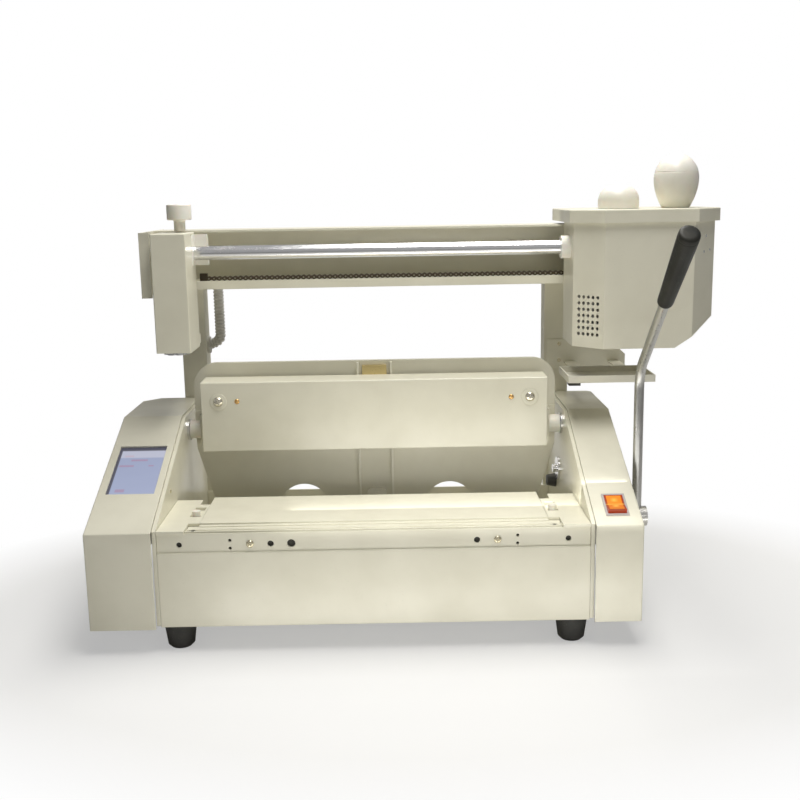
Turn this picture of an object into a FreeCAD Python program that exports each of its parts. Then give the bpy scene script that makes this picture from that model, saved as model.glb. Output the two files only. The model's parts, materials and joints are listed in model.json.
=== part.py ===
import FreeCAD, Part
import math
import os
import re
import Sketcher
from FreeCAD import Placement, Rotation, Vector

# Desktop hot-melt binding machine. Millimetres, +X to the operator's right,
# +Y away from the operator, +Z up, the table on which it stands at Z = 0.
# While it is being built, X = 0 is the middle of the frame and Y = 0 its front;
# the last step moves the origin under the middle of the whole machine.

OVERALL_SIZES = {
    "sheet": 2.0,
    "thin_sheet": 1.5,
    "side_wall": 4.0,
    "gap": 0.3,
    "running_gap": 0.05,
    "overrun": 5.0,
    "origin_x": 0.0,
    "origin_y": 0.0,
}
BASE_SIZES = {
    "foot_height": 28.5,
    "foot_radius": 17.0,
    "foot_tread_radius": 14.0,
    "foot_round": 3.0,
    "foot_inset": 15.5,
    "front_foot_y": 24.0,
    "rear_foot_y": 276.0,
    "frame_half": 222.0,
    "left_cover_width": 72.5,
    "right_cover_width": 53.0,
    "cover_proud": 5.0,
    "cover_rear": 299.5,
    "left_corner": 22.0,
    "right_corner": 8.0,
    "cover_bend": 1.8,
    "front_y": 0.5,
    "table_z": 132.0,
    "slope_top_y": 185.0,
    "cover_top_z": 214.0,
    "front_fold_z": 109.0,
    "cover_lip": 5.0,
    "pan_rim": 12.0,
    "band_recess": 2.0,
    "band_bottom_z": 96.0,
    "rear_wall_y": 296.0,
    "rear_wall_z": 90.0,
    "rear_flange": 17.0,
    "inlet_width": 27.5,
    "inlet_height": 20.0,
    "inlet_depth": 22.0,
    "inlet_pin": 2.2,
    "inlet_x": 150.0,
    "inlet_z": 62.0,
}
PANEL_SIZES = {
    "window_edge": 9.0,
    "window_inset": 11.5,
    "window_low_share": 0.309,
    "window_high_share": 0.717,
    "screen_edge": 3.0,
    "screen_glass": 1.2,
    "module_depth": 8.0,
    "switch_inset": 16.5,
    "switch_width": 24.0,
    "switch_low_share": 0.072,
    "switch_high_share": 0.234,
    "bezel_rise": 1.6,
    "bezel_rim": 2.2,
    "switch_depth": 20.0,
    "rocker_tilt": 7.0,
    "rocker_lip": 3.6,
    "rocker_waist": 1.4,
    "rocker_skirt": 7.0,
}
FRONT_HOLE_SIZES = {
    "band_hole_z": 117.0,
    "outer_hole_inset": 23.0,
    "outer_hole_radius": 2.9,
    "pair_hole_x": 147.0,
    "pair_hole_up": 4.2,
    "pair_hole_radius": 1.6,
    "band_screw_x": 126.5,
    "band_screw_radius": 4.2,
    "bar_hole_inset": 8.0,
    "bar_hole_radius": 2.8,
    "inner_hole_x": 105.5,
    "inner_hole_radius": 3.2,
    "last_hole_x": 84.4,
    "last_hole_radius": 4.2,
}
TABLE_SIZES = {
    "table_sheet": 3.0,
    "table_rear_y": 113.0,
    "shoulder_width": 28.5,
    "cutout_rear_y": 27.0,
    "shoulder_tongue": 12.0,
    "jaw_rear_y": 122.0,
    "slot_inset": 2.5,
    "slot_width": 12.0,
    "slot_front_y": 50.0,
    "slot_rear_y": 84.0,
    "pin_y": 55.5,
    "pin_radius": 4.5,
    "pin_rise": 5.0,
    "nip_y": 12.5,
    "nip_gap": 0.6,
    "bar_drop": 1.6,
    "bar_depth": 11.0,
    "groove_width": 2.4,
    "groove_depth": 1.6,
    "ear_sheet": 3.5,
    "ear_front_y": 44.0,
    "ear_rear_y": 104.0,
    "ear_clearance": 8.0,
    "bed_y": 40.0,
    "bed_depth": 9.0,
}
LEVER_SIZES = {
    "shaft_y": 95.0,
    "shaft_z": 110.0,
    "shaft_radius": 6.0,
    "crank_length": 22.0,
    "crank_lag": 30.0,
    "crank_width": 13.0,
    "crank_sheet": 5.0,
    "crank_pin_radius": 4.0,
    "crank_inset": 17.0,
    "fork_sheet": 4.0,
    "fork_wall": 6.0,
    "fork_length": 40.0,
    "nip_travel": 22.0,
    "hub_radius": 11.0,
    "hub_clearance": 3.0,
    "hub_width": 22.0,
    "lever_inset": 11.5,
    "rod_radius": 5.2,
    "bend_y": 97.0,
    "bend_z": 272.0,
    "bend_radius": 42.0,
    "grip_low_y": 1.0,
    "grip_low_z": 356.0,
    "grip_top_y": -79.0,
    "grip_top_z": 427.0,
    "grip_low_radius": 8.0,
    "grip_top_radius": 10.2,
    "grip_round": 2.6,
    "grip_bore_depth": 90.0,
}
CLAMP_SIZES = {
    "pivot_y": 200.0,
    "pivot_z": 194.0,
    "pivot_radius": 6.0,
    "collar_radius": 10.7,
    "ring_radius": 12.5,
    "ring_length": 2.5,
    "bracket_clearance": 3.0,
    "bracket_sheet": 3.0,
    "bracket_front_y": 188.0,
    "bracket_low_z": 174.0,
    "bracket_high_z": 214.0,
    "board_y": 214.0,
    "board_sheet": 6.0,
    "board_clearance": 6.0,
    "board_top_z": 271.5,
    "board_corner": 28.0,
    "taper_z": 168.0,
    "board_taper": 19.0,
    "board_low_z": 103.0,
    "finger_x": 88.5,
    "finger_radius": 30.0,
    "finger_z": 90.5,
    "rib_from_centre": 18.5,
    "rib_sheet": 2.5,
    "rib_depth": 5.5,
    "rib_low_z": 105.0,
    "brass_half": 14.5,
    "brass_low_z": 250.0,
    "brass_high_z": 266.0,
    "foot_block_half": 11.5,
    "foot_block_high_z": 114.5,
    "foot_block_round": 4.0,
    "jaw_y": 168.0,
    "jaw_clearance": 22.0,
    "jaw_low_z": 174.5,
    "jaw_high_z": 255.5,
    "jaw_depth": 40.0,
    "jaw_sheet": 2.5,
    "jaw_bend": 1.5,
    "guide_inset": 20.0,
    "guide_z": 233.0,
    "guide_radius": 5.0,
    "guide_tail": 40.0,
    "washer_radius": 9.6,
    "washer_sheet": 1.2,
    "screw_head_radius": 5.2,
    "screw_head": 3.2,
    "brass_screw_inset": 21.5,
    "brass_screw_radius": 3.9,
}
POST_SIZES = {
    "post_lap": 7.0,
    "post_width": 30.0,
    "post_depth": 30.0,
    "post_top_z": 418.0,
    "post_sheet": 2.5,
    "post_screw_inset": 19.0,
    "post_screw_low": 254.0,
    "post_screw_high": 275.0,
    "post_screw_radius": 2.8,
    "wall_screw_y": 81.0,
    "wall_screw_z": 152.0,
    "wall_screw_radius": 2.6,
}
BEAM_SIZES = {
    "beam_low_z": 356.0,
    "beam_ledge_z": 366.0,
    "beam_high_z": 426.5,
    "beam_front_y": 246.0,
    "beam_sheet": 2.5,
    "beam_left_reach": 40.0,
    "beam_right_reach": 170.5,
    "end_low_z": 353.0,
    "end_front_y": 175.0,
    "right_end_front_y": 189.0,
    "end_return": 12.0,
    "rod_y": 200.0,
    "rod_z": 402.0,
    "guide_rod_radius": 8.0,
}
CHAIN_SIZES = {
    "chain_pitch": 6.35,
    "chain_left_inset": 24.0,
    "chain_right_reach": 62.7,
    "chain_y": 252.0,
    "roller_radius": 1.65,
    "plate_height": 5.4,
    "plate_waist": 3.2,
    "plate_sheet": 1.1,
    "inner_width": 3.2,
    "anchor_length": 9.0,
    "anchor_height": 9.0,
    "sprocket_teeth": 15.0,
    "sprocket_sheet": 2.4,
    "sprocket_tip": 1.5,
    "tooth_gap": 0.45,
}
MILL_SIZES = {
    "mill_reach": 21.7,
    "mill_width": 39.0,
    "mill_front_y": 150.0,
    "mill_rear_y": 207.0,
    "mill_low_z": 293.0,
    "mill_high_z": 426.0,
    "mill_lip": 7.0,
    "slider_reach": 14.7,
    "slider_half": 14.0,
    "slider_low_z": 388.0,
    "slider_high_z": 423.5,
    "slider_round": 9.0,
    "knob_inset": 14.8,
    "knob_low_z": 440.0,
    "knob_high_z": 457.5,
    "knob_radius": 14.0,
    "knob_round": 2.4,
    "stem_radius": 6.5,
    "motor_radius": 15.5,
    "motor_y": 171.0,
    "motor_low_z": 312.0,
    "motor_high_z": 372.0,
    "spindle_radius": 3.0,
    "cutter_radius": 15.0,
    "cutter_low_z": 289.6,
    "cutter_sheet": 6.0,
    "cutter_teeth": 8.0,
    "cutter_notch": 2.6,
}
GLUE_SIZES = {
    "glue_reach": 7.0,
    "glue_width": 159.5,
    "glue_front_y": 145.0,
    "glue_rear_y": 242.0,
    "glue_chamfer": 30.0,
    "glue_low_z": 290.0,
    "glue_high_z": 430.0,
    "bevel_width": 49.0,
    "bevel_height": 32.5,
    "lid_rim": 5.0,
    "lid_rear_y": 304.0,
    "lid_high_z": 444.5,
    "dome_inset": 53.0,
    "dome_y": 190.0,
    "dome_radius": 23.0,
    "dome_height": 26.0,
    "dome_round": 17.0,
    "neck_radius": 16.0,
    "neck_drop": 6.0,
    "egg_inset": 118.0,
    "egg_y": 190.0,
    "egg_base_radius": 15.0,
    "egg_radius": 24.2,
    "egg_height": 60.5,
    "egg_belly_share": 0.54,
    "vent_columns": 5.0,
    "vent_rows": 7.0,
    "vent_radius": 2.0,
    "vent_pitch_across": 6.3,
    "vent_pitch_up": 7.0,
    "vent_first_z": 305.3,
    "bush_reach": 10.7,
    "bush_length": 21.0,
    "bush_radius": 13.0,
    "roller_inset": 21.0,
    "glue_roller_radius": 14.0,
    "roller_low_z": 288.8,
    "roller_front_y": 178.0,
    "roller_rear_y": 225.0,
    "roller_shaft_radius": 3.0,
    "pot_inset": 3.0,
    "pot_width": 68.0,
    "pot_wall": 3.0,
    "pot_floor_z": 312.0,
    "pot_high_z": 350.0,
    "pulley_radius": 8.0,
    "pulley_front_y": 231.0,
    "pulley_width": 6.0,
    "belt_sheet": 1.4,
    "glide_height": 3.2,
    "glide_length": 22.0,
}
TRAY_SIZES = {
    "tray_lap": 2.0,
    "tray_width": 98.0,
    "tray_front_y": 141.0,
    "tray_rear_y": 210.0,
    "tray_low_z": 252.5,
    "tray_high_z": 260.5,
    "tray_sheet": 1.5,
    "arm_inset": 20.0,
    "arm_pitch": 56.0,
    "arm_width": 14.0,
    "plate_low_z": 243.0,
    "plate_high_z": 281.0,
    "buffer_inset": 9.0,
    "buffer_y": 158.0,
    "buffer_half": 6.5,
    "buffer_height": 5.0,
    "corner_buffer_y": 239.0,
    "corner_buffer_z": 113.0,
    "corner_buffer_radius": 8.5,
    "corner_buffer_length": 11.0,
    "stop_y": 217.0,
    "stop_z": 134.0,
    "stop_radius": 14.0,
    "stop_bolt_radius": 5.0,
    "stop_bolt_reach": 10.0,
}
CONDUIT_SIZES = {
    "conduit_inset": 16.5,
    "conduit_y": 317.0,
    "conduit_top_z": 384.0,
    "conduit_end_z": 279.0,
    "conduit_crest_radius": 6.6,
    "conduit_root_radius": 5.7,
    "conduit_bore_radius": 4.6,
    "rib_pitch": 4.2,
    "conduit_bend": 13.2,
    "gland_radius": 8.6,
    "gland_flange": 3.5,
    "gland_wall": 2.0,
    "elbow_drop": 12.0,
}
SIZES = {}
for group in (
    OVERALL_SIZES, BASE_SIZES, PANEL_SIZES, FRONT_HOLE_SIZES, TABLE_SIZES,
    LEVER_SIZES, CLAMP_SIZES, POST_SIZES, BEAM_SIZES, CHAIN_SIZES, MILL_SIZES,
    GLUE_SIZES, TRAY_SIZES, CONDUIT_SIZES,
):
    SIZES.update(group)

# Words that stand for a formula of the sizes above.
WORKED_OUT = {
    "foot_from_centre": "frame_half - foot_inset",
    "left_cover_out": "frame_half + left_cover_width",
    "right_cover_out": "frame_half + right_cover_width",
    "window_left": "left_cover_out - window_edge",
    "window_right": "frame_half + window_inset",
    "switch_left": "frame_half + switch_inset",
    "switch_right": "switch_left + switch_width",
    "outer_hole_x": "frame_half - outer_hole_inset",
    "cutout_half": "frame_half - shoulder_width",
    "bar_hole_x": "cutout_half - bar_hole_inset",
    "jaw_half": "cutout_half - shoulder_tongue",
    "slot_near": "jaw_half + slot_inset",
    "slot_far": "slot_near + slot_width",
    "ear_half": "frame_half - ear_clearance",
    "crank_x": "frame_half - crank_inset",
    "hub_left": "right_cover_out + hub_clearance",
    "hub_right": "hub_left + hub_width",
    "lever_x": "hub_left + lever_inset",
    "board_half": "frame_half - board_clearance",
    "board_low_half": "board_half - board_taper",
    "jaw_length_half": "frame_half - jaw_clearance",
    "bracket_inner": "jaw_length_half + bracket_clearance",
    "guide_x": "jaw_length_half - guide_inset",
    "brass_screw_x": "guide_x - brass_screw_inset",
    "post_near": "frame_half - post_lap",
    "post_far": "post_near + post_width",
    "post_screw_x": "post_near + post_screw_inset",
    "beam_left": "frame_half + beam_left_reach",
    "beam_right": "frame_half + beam_right_reach",
    "chain_left": "frame_half - chain_left_inset",
    "chain_links": "floor((chain_left + frame_half + chain_right_reach) / chain_pitch) + 1",
    "mill_left": "frame_half + mill_reach",
    "mill_right": "mill_left - mill_width",
    "slider_right": "mill_right - slider_reach",
    "knob_x": "mill_right + knob_inset",
    "glue_left": "frame_half + glue_reach",
    "glue_right": "glue_left + glue_width",
    "dome_x": "glue_left + dome_inset",
    "egg_x": "glue_left + egg_inset",
    "bush_left": "glue_left - bush_reach",
    "roller_x": "glue_left + roller_inset",
    "pot_left": "glue_left + pot_inset",
    "pot_right": "pot_left + pot_width",
    "tray_left": "frame_half - tray_lap",
    "tray_right": "tray_left + tray_width",
    "arm_left": "tray_left + arm_inset",
    "arm_right": "arm_left + arm_pitch",
    "plate_right": "tray_right",
    "buffer_x": "tray_left + buffer_inset",
    "conduit_x": "post_near - conduit_inset",
    "post_y": "cover_rear + sheet",
    "slope_run": "slope_top_y + cover_proud",
    "slope_angle": "atan((cover_top_z - table_z) / slope_run)",
    "slope_length": "slope_run / cos(slope_angle)",
    "under_table_z": "table_z - table_sheet",
    "bar_low_z": "under_table_z - bar_depth",
    "ear_high_z": "under_table_z - gap",
    "crank_pin_y": "shaft_y - crank_length * sin(crank_lag)",
    "crank_pin_z": "shaft_z - crank_length * cos(crank_lag)",
    "rolling_radius": "chain_pitch * sprocket_teeth / 2 / pi",
    "sprocket_z": "beam_ledge_z + plate_height / 2 + rolling_radius",
    "roller_z": "roller_low_z + glue_roller_radius",
    "glue_floor_z": "glue_low_z + thin_sheet",
    "switch_length": "(switch_high_share - switch_low_share) * slope_length",
    "switch_middle": "(switch_high_share + switch_low_share) / 2 * slope_length",
}

document = FreeCAD.newDocument("binding_machine")
sheet = document.addObject("Spreadsheet::Sheet", "Sizes")
for row, (word, number) in enumerate(SIZES.items(), start=1):
    sheet.set(f"A{row}", word)
    sheet.set(f"B{row}", str(number))
    sheet.setAlias(f"B{row}", word)
document.recompute()

nodes = {}
TURN_TO = {
    "X": Rotation(Vector(0, 1, 0), 90),
    "Y": Rotation(Vector(1, 0, 0), -90),
    "Z": Rotation(),
}


def formula(text):
    """Put the sheet's name before each of its words, and spell out the worked-out ones."""
    def spelt(found):
        word = found[0]
        if word in WORKED_OUT:
            return f"({formula(WORKED_OUT[word])})"
        return "Sizes." + word if word in SIZES else word

    return re.sub(r"[a-z_]+", spelt, text)


def value(text):
    """Work a formula out on the sheet."""
    result = sheet.evalExpression(formula(text))
    return float(getattr(result, "Value", result))


def bind(thing, **formulas):
    for name, text in formulas.items():
        thing.setExpression(name, formula(text))


def put(thing, x="0", y="0", z="0"):
    """Place an object by formulas, and keep them for the last move."""
    if "PlaceFormulas" not in thing.PropertiesList:
        thing.addProperty("App::PropertyStringList", "PlaceFormulas")
    thing.PlaceFormulas = [x, y, z]
    for axis, text in zip("xyz", (x, y, z)):
        thing.setExpression("Placement.Base." + axis, formula(text))


def block(name, x, y, z):
    """A box between two formulas along each axis."""
    box = document.addObject("Part::Box", name)
    bind(
        box,
        Length=f"({x[1]}) - ({x[0]})",
        Width=f"({y[1]}) - ({y[0]})",
        Height=f"({z[1]}) - ({z[0]})",
    )
    put(box, x[0], y[0], z[0])
    return box


def disc(name, axis, radius, span, centre, second_radius=None):
    """A cylinder, or a cone, along an axis; centre gives the two other places."""
    kind = "Part::Cone" if second_radius else "Part::Cylinder"
    solid = document.addObject(kind, name)
    if second_radius:
        bind(solid, Radius1=radius, Radius2=second_radius)
    else:
        bind(solid, Radius=radius)
    bind(solid, Height=f"({span[1]}) - ({span[0]})")
    solid.Placement = Placement(Vector(), TURN_TO[axis])
    place = {"X": (span[0], *centre), "Y": (centre[0], span[0], centre[1])}
    put(solid, *place.get(axis, (*centre, span[0])))
    return solid


def cut(name, base, *tools):
    result = document.addObject("Part::Cut", name)
    result.Base = base
    result.Tool = tools[0] if len(tools) == 1 else joined(name + "_tools", *tools)
    put(result)
    return result


def joined(name, *things):
    result = document.addObject("Part::MultiFuse", name)
    result.Shapes = list(things)
    put(result)
    return result


def group(name, *things):
    """Separate solids that share one node."""
    result = document.addObject("Part::Compound", name)
    result.Links = list(things)
    put(result)
    return result


def mirrored(name, thing):
    """The same piece on the other side of the frame."""
    result = document.addObject("Part::Mirroring", name)
    result.Source = thing
    result.Normal = Vector(1, 0, 0)
    put(result)
    return result


def drawn(name, shape):
    """A shape worked out from the sheet in code."""
    result = document.addObject("Part::Feature", name)
    result.Shape = shape
    put(result)
    return result


def subpart(label, thing):
    thing.Label = label
    nodes[label] = thing
    return thing


# Each plane's sketch has its own two axes; the last entry is the sign of its normal.
PLANES = {"YZ": ("YZ_Plane", 1), "XZ": ("XZ_Plane", -1), "XY": ("XY_Plane", 1)}


def profile(name, plane, outline, span, rounding=None, picks=None):
    """A body: a closed sketch of straight lines, padded between two formulas."""
    body = document.addObject("PartDesign::Body", name)
    role, sign = PLANES[plane]
    sketch = body.newObject("Sketcher::SketchObject", name + "_outline")
    origin = {item.Role: item for item in body.Origin.OriginFeatures}
    sketch.AttachmentSupport = [(origin[role], "")]
    sketch.MapMode = "FlatFace"
    start = span[0] if sign > 0 else f"-1 * ({span[1]})"
    sketch.setExpression("AttachmentOffset.Base.z", formula(start))
    corners = [Vector(value(x), value(y), 0) for x, y in outline]
    count = len(corners)
    for i, corner in enumerate(corners):
        sketch.addGeometry(Part.LineSegment(corner, corners[(i + 1) % count]))
    for i in range(count):
        sketch.addConstraint(Sketcher.Constraint("Coincident", i, 2, (i + 1) % count, 1))
    for i, corner in enumerate(corners):
        for kind, number, text in zip(("DistanceX", "DistanceY"), corner, outline[i]):
            index = sketch.addConstraint(Sketcher.Constraint(kind, -1, 1, i, 1, number))
            sketch.renameConstraint(index, f"{kind}_{i}")
            sketch.setExpression(f"Constraints.{kind}_{i}", formula(text))
    pad = body.newObject("PartDesign::Pad", name + "_pad")
    pad.Profile = sketch
    pad.setExpression("Length", formula(f"({span[1]}) - ({span[0]})"))
    if rounding:
        round_off(body, pad, rounding, picks)
    put(body)
    return body


def round_off(body, feature, radius, picks):
    """Round the edges of a body's last feature that picks chooses."""
    document.recompute()
    names = [
        f"Edge{i}" for i, edge in enumerate(feature.Shape.Edges, start=1) if picks(edge)
    ]
    fillet = body.newObject("PartDesign::Fillet", body.Name + "_bend")
    fillet.Base = (feature, names)
    fillet.setExpression("Radius", formula(radius))
    body.Tip = fillet


def turned(name, outline, place, axis="Z"):
    """A body of revolution: straight-line outline of (radius, height) formulas."""
    body = document.addObject("PartDesign::Body", name)
    sketch = body.newObject("Sketcher::SketchObject", name + "_outline")
    origin = {item.Role: item for item in body.Origin.OriginFeatures}
    sketch.AttachmentSupport = [(origin["XZ_Plane"], "")]
    sketch.MapMode = "FlatFace"
    corners = [Vector(value(x), value(y), 0) for x, y in outline]
    count = len(corners)
    for i, corner in enumerate(corners):
        sketch.addGeometry(Part.LineSegment(corner, corners[(i + 1) % count]))
    for i in range(count):
        sketch.addConstraint(Sketcher.Constraint("Coincident", i, 2, (i + 1) % count, 1))
    for i, corner in enumerate(corners):
        for kind, number, text in zip(("DistanceX", "DistanceY"), corner, outline[i]):
            index = sketch.addConstraint(Sketcher.Constraint(kind, -1, 1, i, 1, number))
            sketch.renameConstraint(index, f"{kind}_{i}")
            sketch.setExpression(f"Constraints.{kind}_{i}", formula(text))
    spin = body.newObject("PartDesign::Revolution", name + "_turn")
    spin.Profile = sketch
    spin.ReferenceAxis = (origin["Z_Axis"], [""])
    body.Placement = Placement(Vector(), TURN_TO[axis])
    put(body, *place)
    return body


def along(edge, axis):
    """True for a straight edge that runs along an axis."""
    if not isinstance(edge.Curve, Part.Line):
        return False
    return abs(abs(edge.Curve.Direction.dot(axis)) - 1) < 1e-6


def reaches(edge, axis, place, slack=0.01):
    """True when all of an edge lies at one place along an axis."""
    return all(abs(v.Point.dot(axis) - place) < slack for v in edge.Vertexes)


AXIS_X, AXIS_Y, AXIS_Z = Vector(1, 0, 0), Vector(0, 1, 0), Vector(0, 0, 1)

def sided(side, near, far):
    """The span from near to far on the left (-1) or right (1) of the middle."""
    return (near, far) if side > 0 else (f"-({far})", f"-({near})")


def cover_outline(inset, front="-cover_proud", bottom="foot_height"):
    """The covers' side view, drawn in by inset all round but at the bottom."""
    front_y = f"{front} + {inset}"
    slope_start = (
        f"table_z - ({inset}) / cos(slope_angle) + ({front_y} + cover_proud) * tan(slope_angle)"
    )
    return [
        (front_y, bottom),
        (front_y, slope_start),
        (f"slope_top_y + ({inset}) * tan(slope_angle / 2)", f"cover_top_z - ({inset})"),
        (f"cover_rear - ({inset})", f"cover_top_z - ({inset})"),
        (f"cover_rear - ({inset})", bottom),
    ]


def on_slope(name, x, shares, rise, margin="0"):
    """A box that lies on the slope: X span, shares of its length, rise off it."""
    box = document.addObject("Part::Box", name)
    bind(
        box,
        Length=f"({x[1]}) - ({x[0]})",
        Width=f"({shares[1]} - {shares[0]}) * slope_length - 2 * ({margin})",
        Height=f"({rise[1]}) - ({rise[0]})",
    )
    lean(box, "slope_angle")
    along_slope = f"({shares[0]} * slope_length + ({margin}))"
    put(
        box,
        x[0],
        f"-cover_proud + {along_slope} * cos(slope_angle) - ({rise[0]}) * sin(slope_angle)",
        f"table_z + {along_slope} * sin(slope_angle) + ({rise[0]}) * cos(slope_angle)",
    )
    return box


def lean(thing, angle):
    """Turn an object about X by a formula, its rear end up."""
    thing.Placement = Placement(Vector(), Rotation(AXIS_X, value(angle)))
    thing.setExpression("Placement.Rotation.Angle", formula(angle))


def base_pan():
    """Folded tray that closes the machine below and behind."""
    half = "frame_half - gap"
    outline = [
        ("front_y + sheet + gap", "foot_height + pan_rim"),
        ("front_y + sheet + gap", "foot_height + sheet"),
        ("rear_wall_y + sheet", "foot_height + sheet"),
        ("rear_wall_y + sheet", "rear_wall_z"),
        ("rear_wall_y", "rear_wall_z"),
        ("rear_wall_y", "foot_height + 2 * sheet"),
        ("front_y + 2 * sheet + gap", "foot_height + 2 * sheet"),
        ("front_y + 2 * sheet + gap", "foot_height + pan_rim"),
    ]
    floor = profile("pan_sheet", "YZ", outline, (f"-({half})", half))
    opening = block(
        "pan_inlet_opening",
        ("-inlet_x - inlet_width / 2", "-inlet_x + inlet_width / 2"),
        ("rear_wall_y - overrun", "rear_wall_y + sheet + overrun"),
        ("inlet_z - inlet_height / 2", "inlet_z + inlet_height / 2"),
    )
    subpart("base_pan", cut("pan", floor, opening))


def power_inlet():
    """Appliance inlet in the rear wall: a socket with three blades."""
    half_x, half_z = "inlet_width / 2 - gap", "inlet_height / 2 - gap"
    body = block(
        "inlet_body",
        (f"-inlet_x - ({half_x})", f"-inlet_x + {half_x}"),
        ("rear_wall_y + sheet - inlet_depth", "rear_wall_y + sheet"),
        (f"inlet_z - ({half_z})", f"inlet_z + {half_z}"),
    )
    flange = block(
        "inlet_flange",
        ("-inlet_x - inlet_width", "-inlet_x + inlet_width"),
        ("rear_wall_y + sheet", "rear_wall_y + 2 * sheet"),
        ("inlet_z - inlet_height / 2 - sheet", "inlet_z + inlet_height / 2 + sheet"),
    )
    socket = block(
        "inlet_socket",
        (f"-inlet_x - ({half_x}) + sheet", f"-inlet_x + {half_x} - sheet"),
        ("rear_wall_y + 3 * sheet - inlet_depth", "rear_wall_y + 2 * sheet + overrun"),
        (f"inlet_z - ({half_z}) + sheet", f"inlet_z + {half_z} - sheet"),
    )
    housing = cut("inlet_housing", joined("inlet_block", body, flange), socket)
    blades = [
        block(
            f"inlet_blade_{i}",
            (f"-inlet_x + {i - 1} * 3 * inlet_pin - inlet_pin / 2",
             f"-inlet_x + {i - 1} * 3 * inlet_pin + inlet_pin / 2"),
            ("rear_wall_y + 3 * sheet - inlet_depth", "rear_wall_y - 2 * inlet_pin"),
            ("inlet_z - inlet_pin", "inlet_z + inlet_pin"),
        )
        for i in range(3)
    ]
    subpart("power_inlet", joined("inlet", housing, *blades))


def side_plate(label, side):
    """One side wall that carries the shafts, with a flange for the post."""
    outer = "frame_half + side_wall"
    outline = cover_outline("sheet", front="front_y - sheet", bottom="foot_height + sheet")
    plate = profile(f"{label}_sheet", "YZ", outline, sided(side, "frame_half", outer))
    height = ("foot_height + sheet", "cover_top_z - sheet")
    flange = block(
        f"{label}_flange", sided(side, f"{outer} - sheet", f"{outer} + rear_flange"),
        ("cover_rear", "post_y"), height,
    )
    bridge = block(
        f"{label}_bridge", sided(side, "frame_half", outer),
        ("cover_rear - sheet - overrun", "post_y"), height,
    )
    across = sided(side, "frame_half - overrun", f"{outer} + overrun")
    pivot_bore = disc(
        f"{label}_pivot_bore", "X", "pivot_radius + running_gap", across, ("pivot_y", "pivot_z")
    )
    shaft_bore = disc(
        f"{label}_shaft_bore", "X", "shaft_radius + running_gap", across, ("shaft_y", "shaft_z")
    )
    solid = joined(f"{label}_solid", plate, flange, bridge)
    subpart(label, cut(f"{label}_bored", solid, pivot_bore, shaft_bore))


def front_panels():
    """The upper band with its holes, and the lower front cover below the fold."""
    band_y = ("front_y + band_recess", "front_y + band_recess + sheet")
    through = (band_y[0] + " - overrun", band_y[1] + " + overrun")
    band = block(
        "band_sheet",
        ("-frame_half + gap", "frame_half - gap"),
        band_y,
        ("band_bottom_z", "table_z - table_sheet - gap"),
    )
    holes = []
    for side in ("-", ""):
        places = [
            ("outer_hole", "outer_hole_x", "band_hole_z"),
            ("pair_hole", "pair_hole_x", "band_hole_z + pair_hole_up"),
            ("pair_hole", "pair_hole_x", "band_hole_z - pair_hole_up"),
            ("inner_hole", "inner_hole_x", "band_hole_z"),
        ]
        for word, x, z in places:
            holes.append(
                disc(f"{word}_{len(holes)}", "Y", word + "_radius", through, (side + x, z))
            )
    holes.append(
        disc("last_hole", "Y", "last_hole_radius", through, ("-last_hole_x", "band_hole_z"))
    )
    subpart("front_band", cut("band", band, *holes))
    outline = [
        ("front_y + cover_lip", "foot_height"),
        ("front_y", "foot_height"),
        ("front_y", "front_fold_z"),
        ("front_y + sheet", "front_fold_z"),
        ("front_y + sheet", "foot_height + thin_sheet"),
        ("front_y + cover_lip", "foot_height + thin_sheet"),
    ]
    cover = profile(
        "front_cover_sheet", "YZ", outline, ("-frame_half + gap", "frame_half - gap"),
        "cover_bend - gap",
        lambda edge: along(edge, AXIS_X) and reaches(edge, AXIS_Y, value("front_y")),
    )
    subpart("front_cover", cover)


def side_cover(name, side, outer, corner):
    """A folded side cover, open below and towards the frame: its shell and its hollow."""
    near = "frame_half + side_wall + gap"
    outer_x = side * value(outer)

    def bends(edge):
        if reaches(edge, AXIS_Z, value("foot_height")) or reaches(edge, AXIS_X, side * value(near)):
            return False
        return reaches(edge, AXIS_X, outer_x) or along(edge, AXIS_X)

    shell = profile(
        f"{name}_outer", "YZ", cover_outline("0"), sided(side, near, outer), "cover_bend", bends
    )
    hollow = profile(
        f"{name}_inner", "YZ", cover_outline("sheet", bottom="foot_height - overrun"),
        sided(side, f"{near} - overrun", f"{outer} - sheet"),
    )
    wedges = []
    for word, wall, leg in (
        ("outer", "0", corner), ("inner", "sheet", f"{corner} - (2 - sqrt(2)) * sheet"),
    ):
        x, y = f"({outer} - {wall})", f"(cover_rear - {wall})"
        wedge = [
            (f"{side} * ({x} - ({leg}) - overrun)", f"{y} + overrun"),
            (f"{side} * ({x} + overrun)", f"{y} - ({leg}) - overrun"),
            (f"{side} * ({x} + overrun)", f"{y} + overrun"),
        ]
        wedges.append(profile(
            f"{name}_{word}_corner", "XY", wedge,
            ("foot_height - 2 * overrun", "cover_top_z + overrun"),
        ))
    return cut(f"{name}_blank", shell, wedges[0]), cut(f"{name}_hollow", hollow, wedges[1])


def left_cover():
    """Wide cover whose slope has the window of the touch display."""
    shell, hollow = side_cover("left_cover", -1, "left_cover_out", "left_corner")
    window = on_slope(
        "display_window",
        ("-window_left", "-window_right"),
        ("window_low_share", "window_high_share"),
        ("-sheet - overrun", "overrun"),
    )
    subpart("left_cover", cut("left_cover_sheet", shell, hollow, window))


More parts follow.
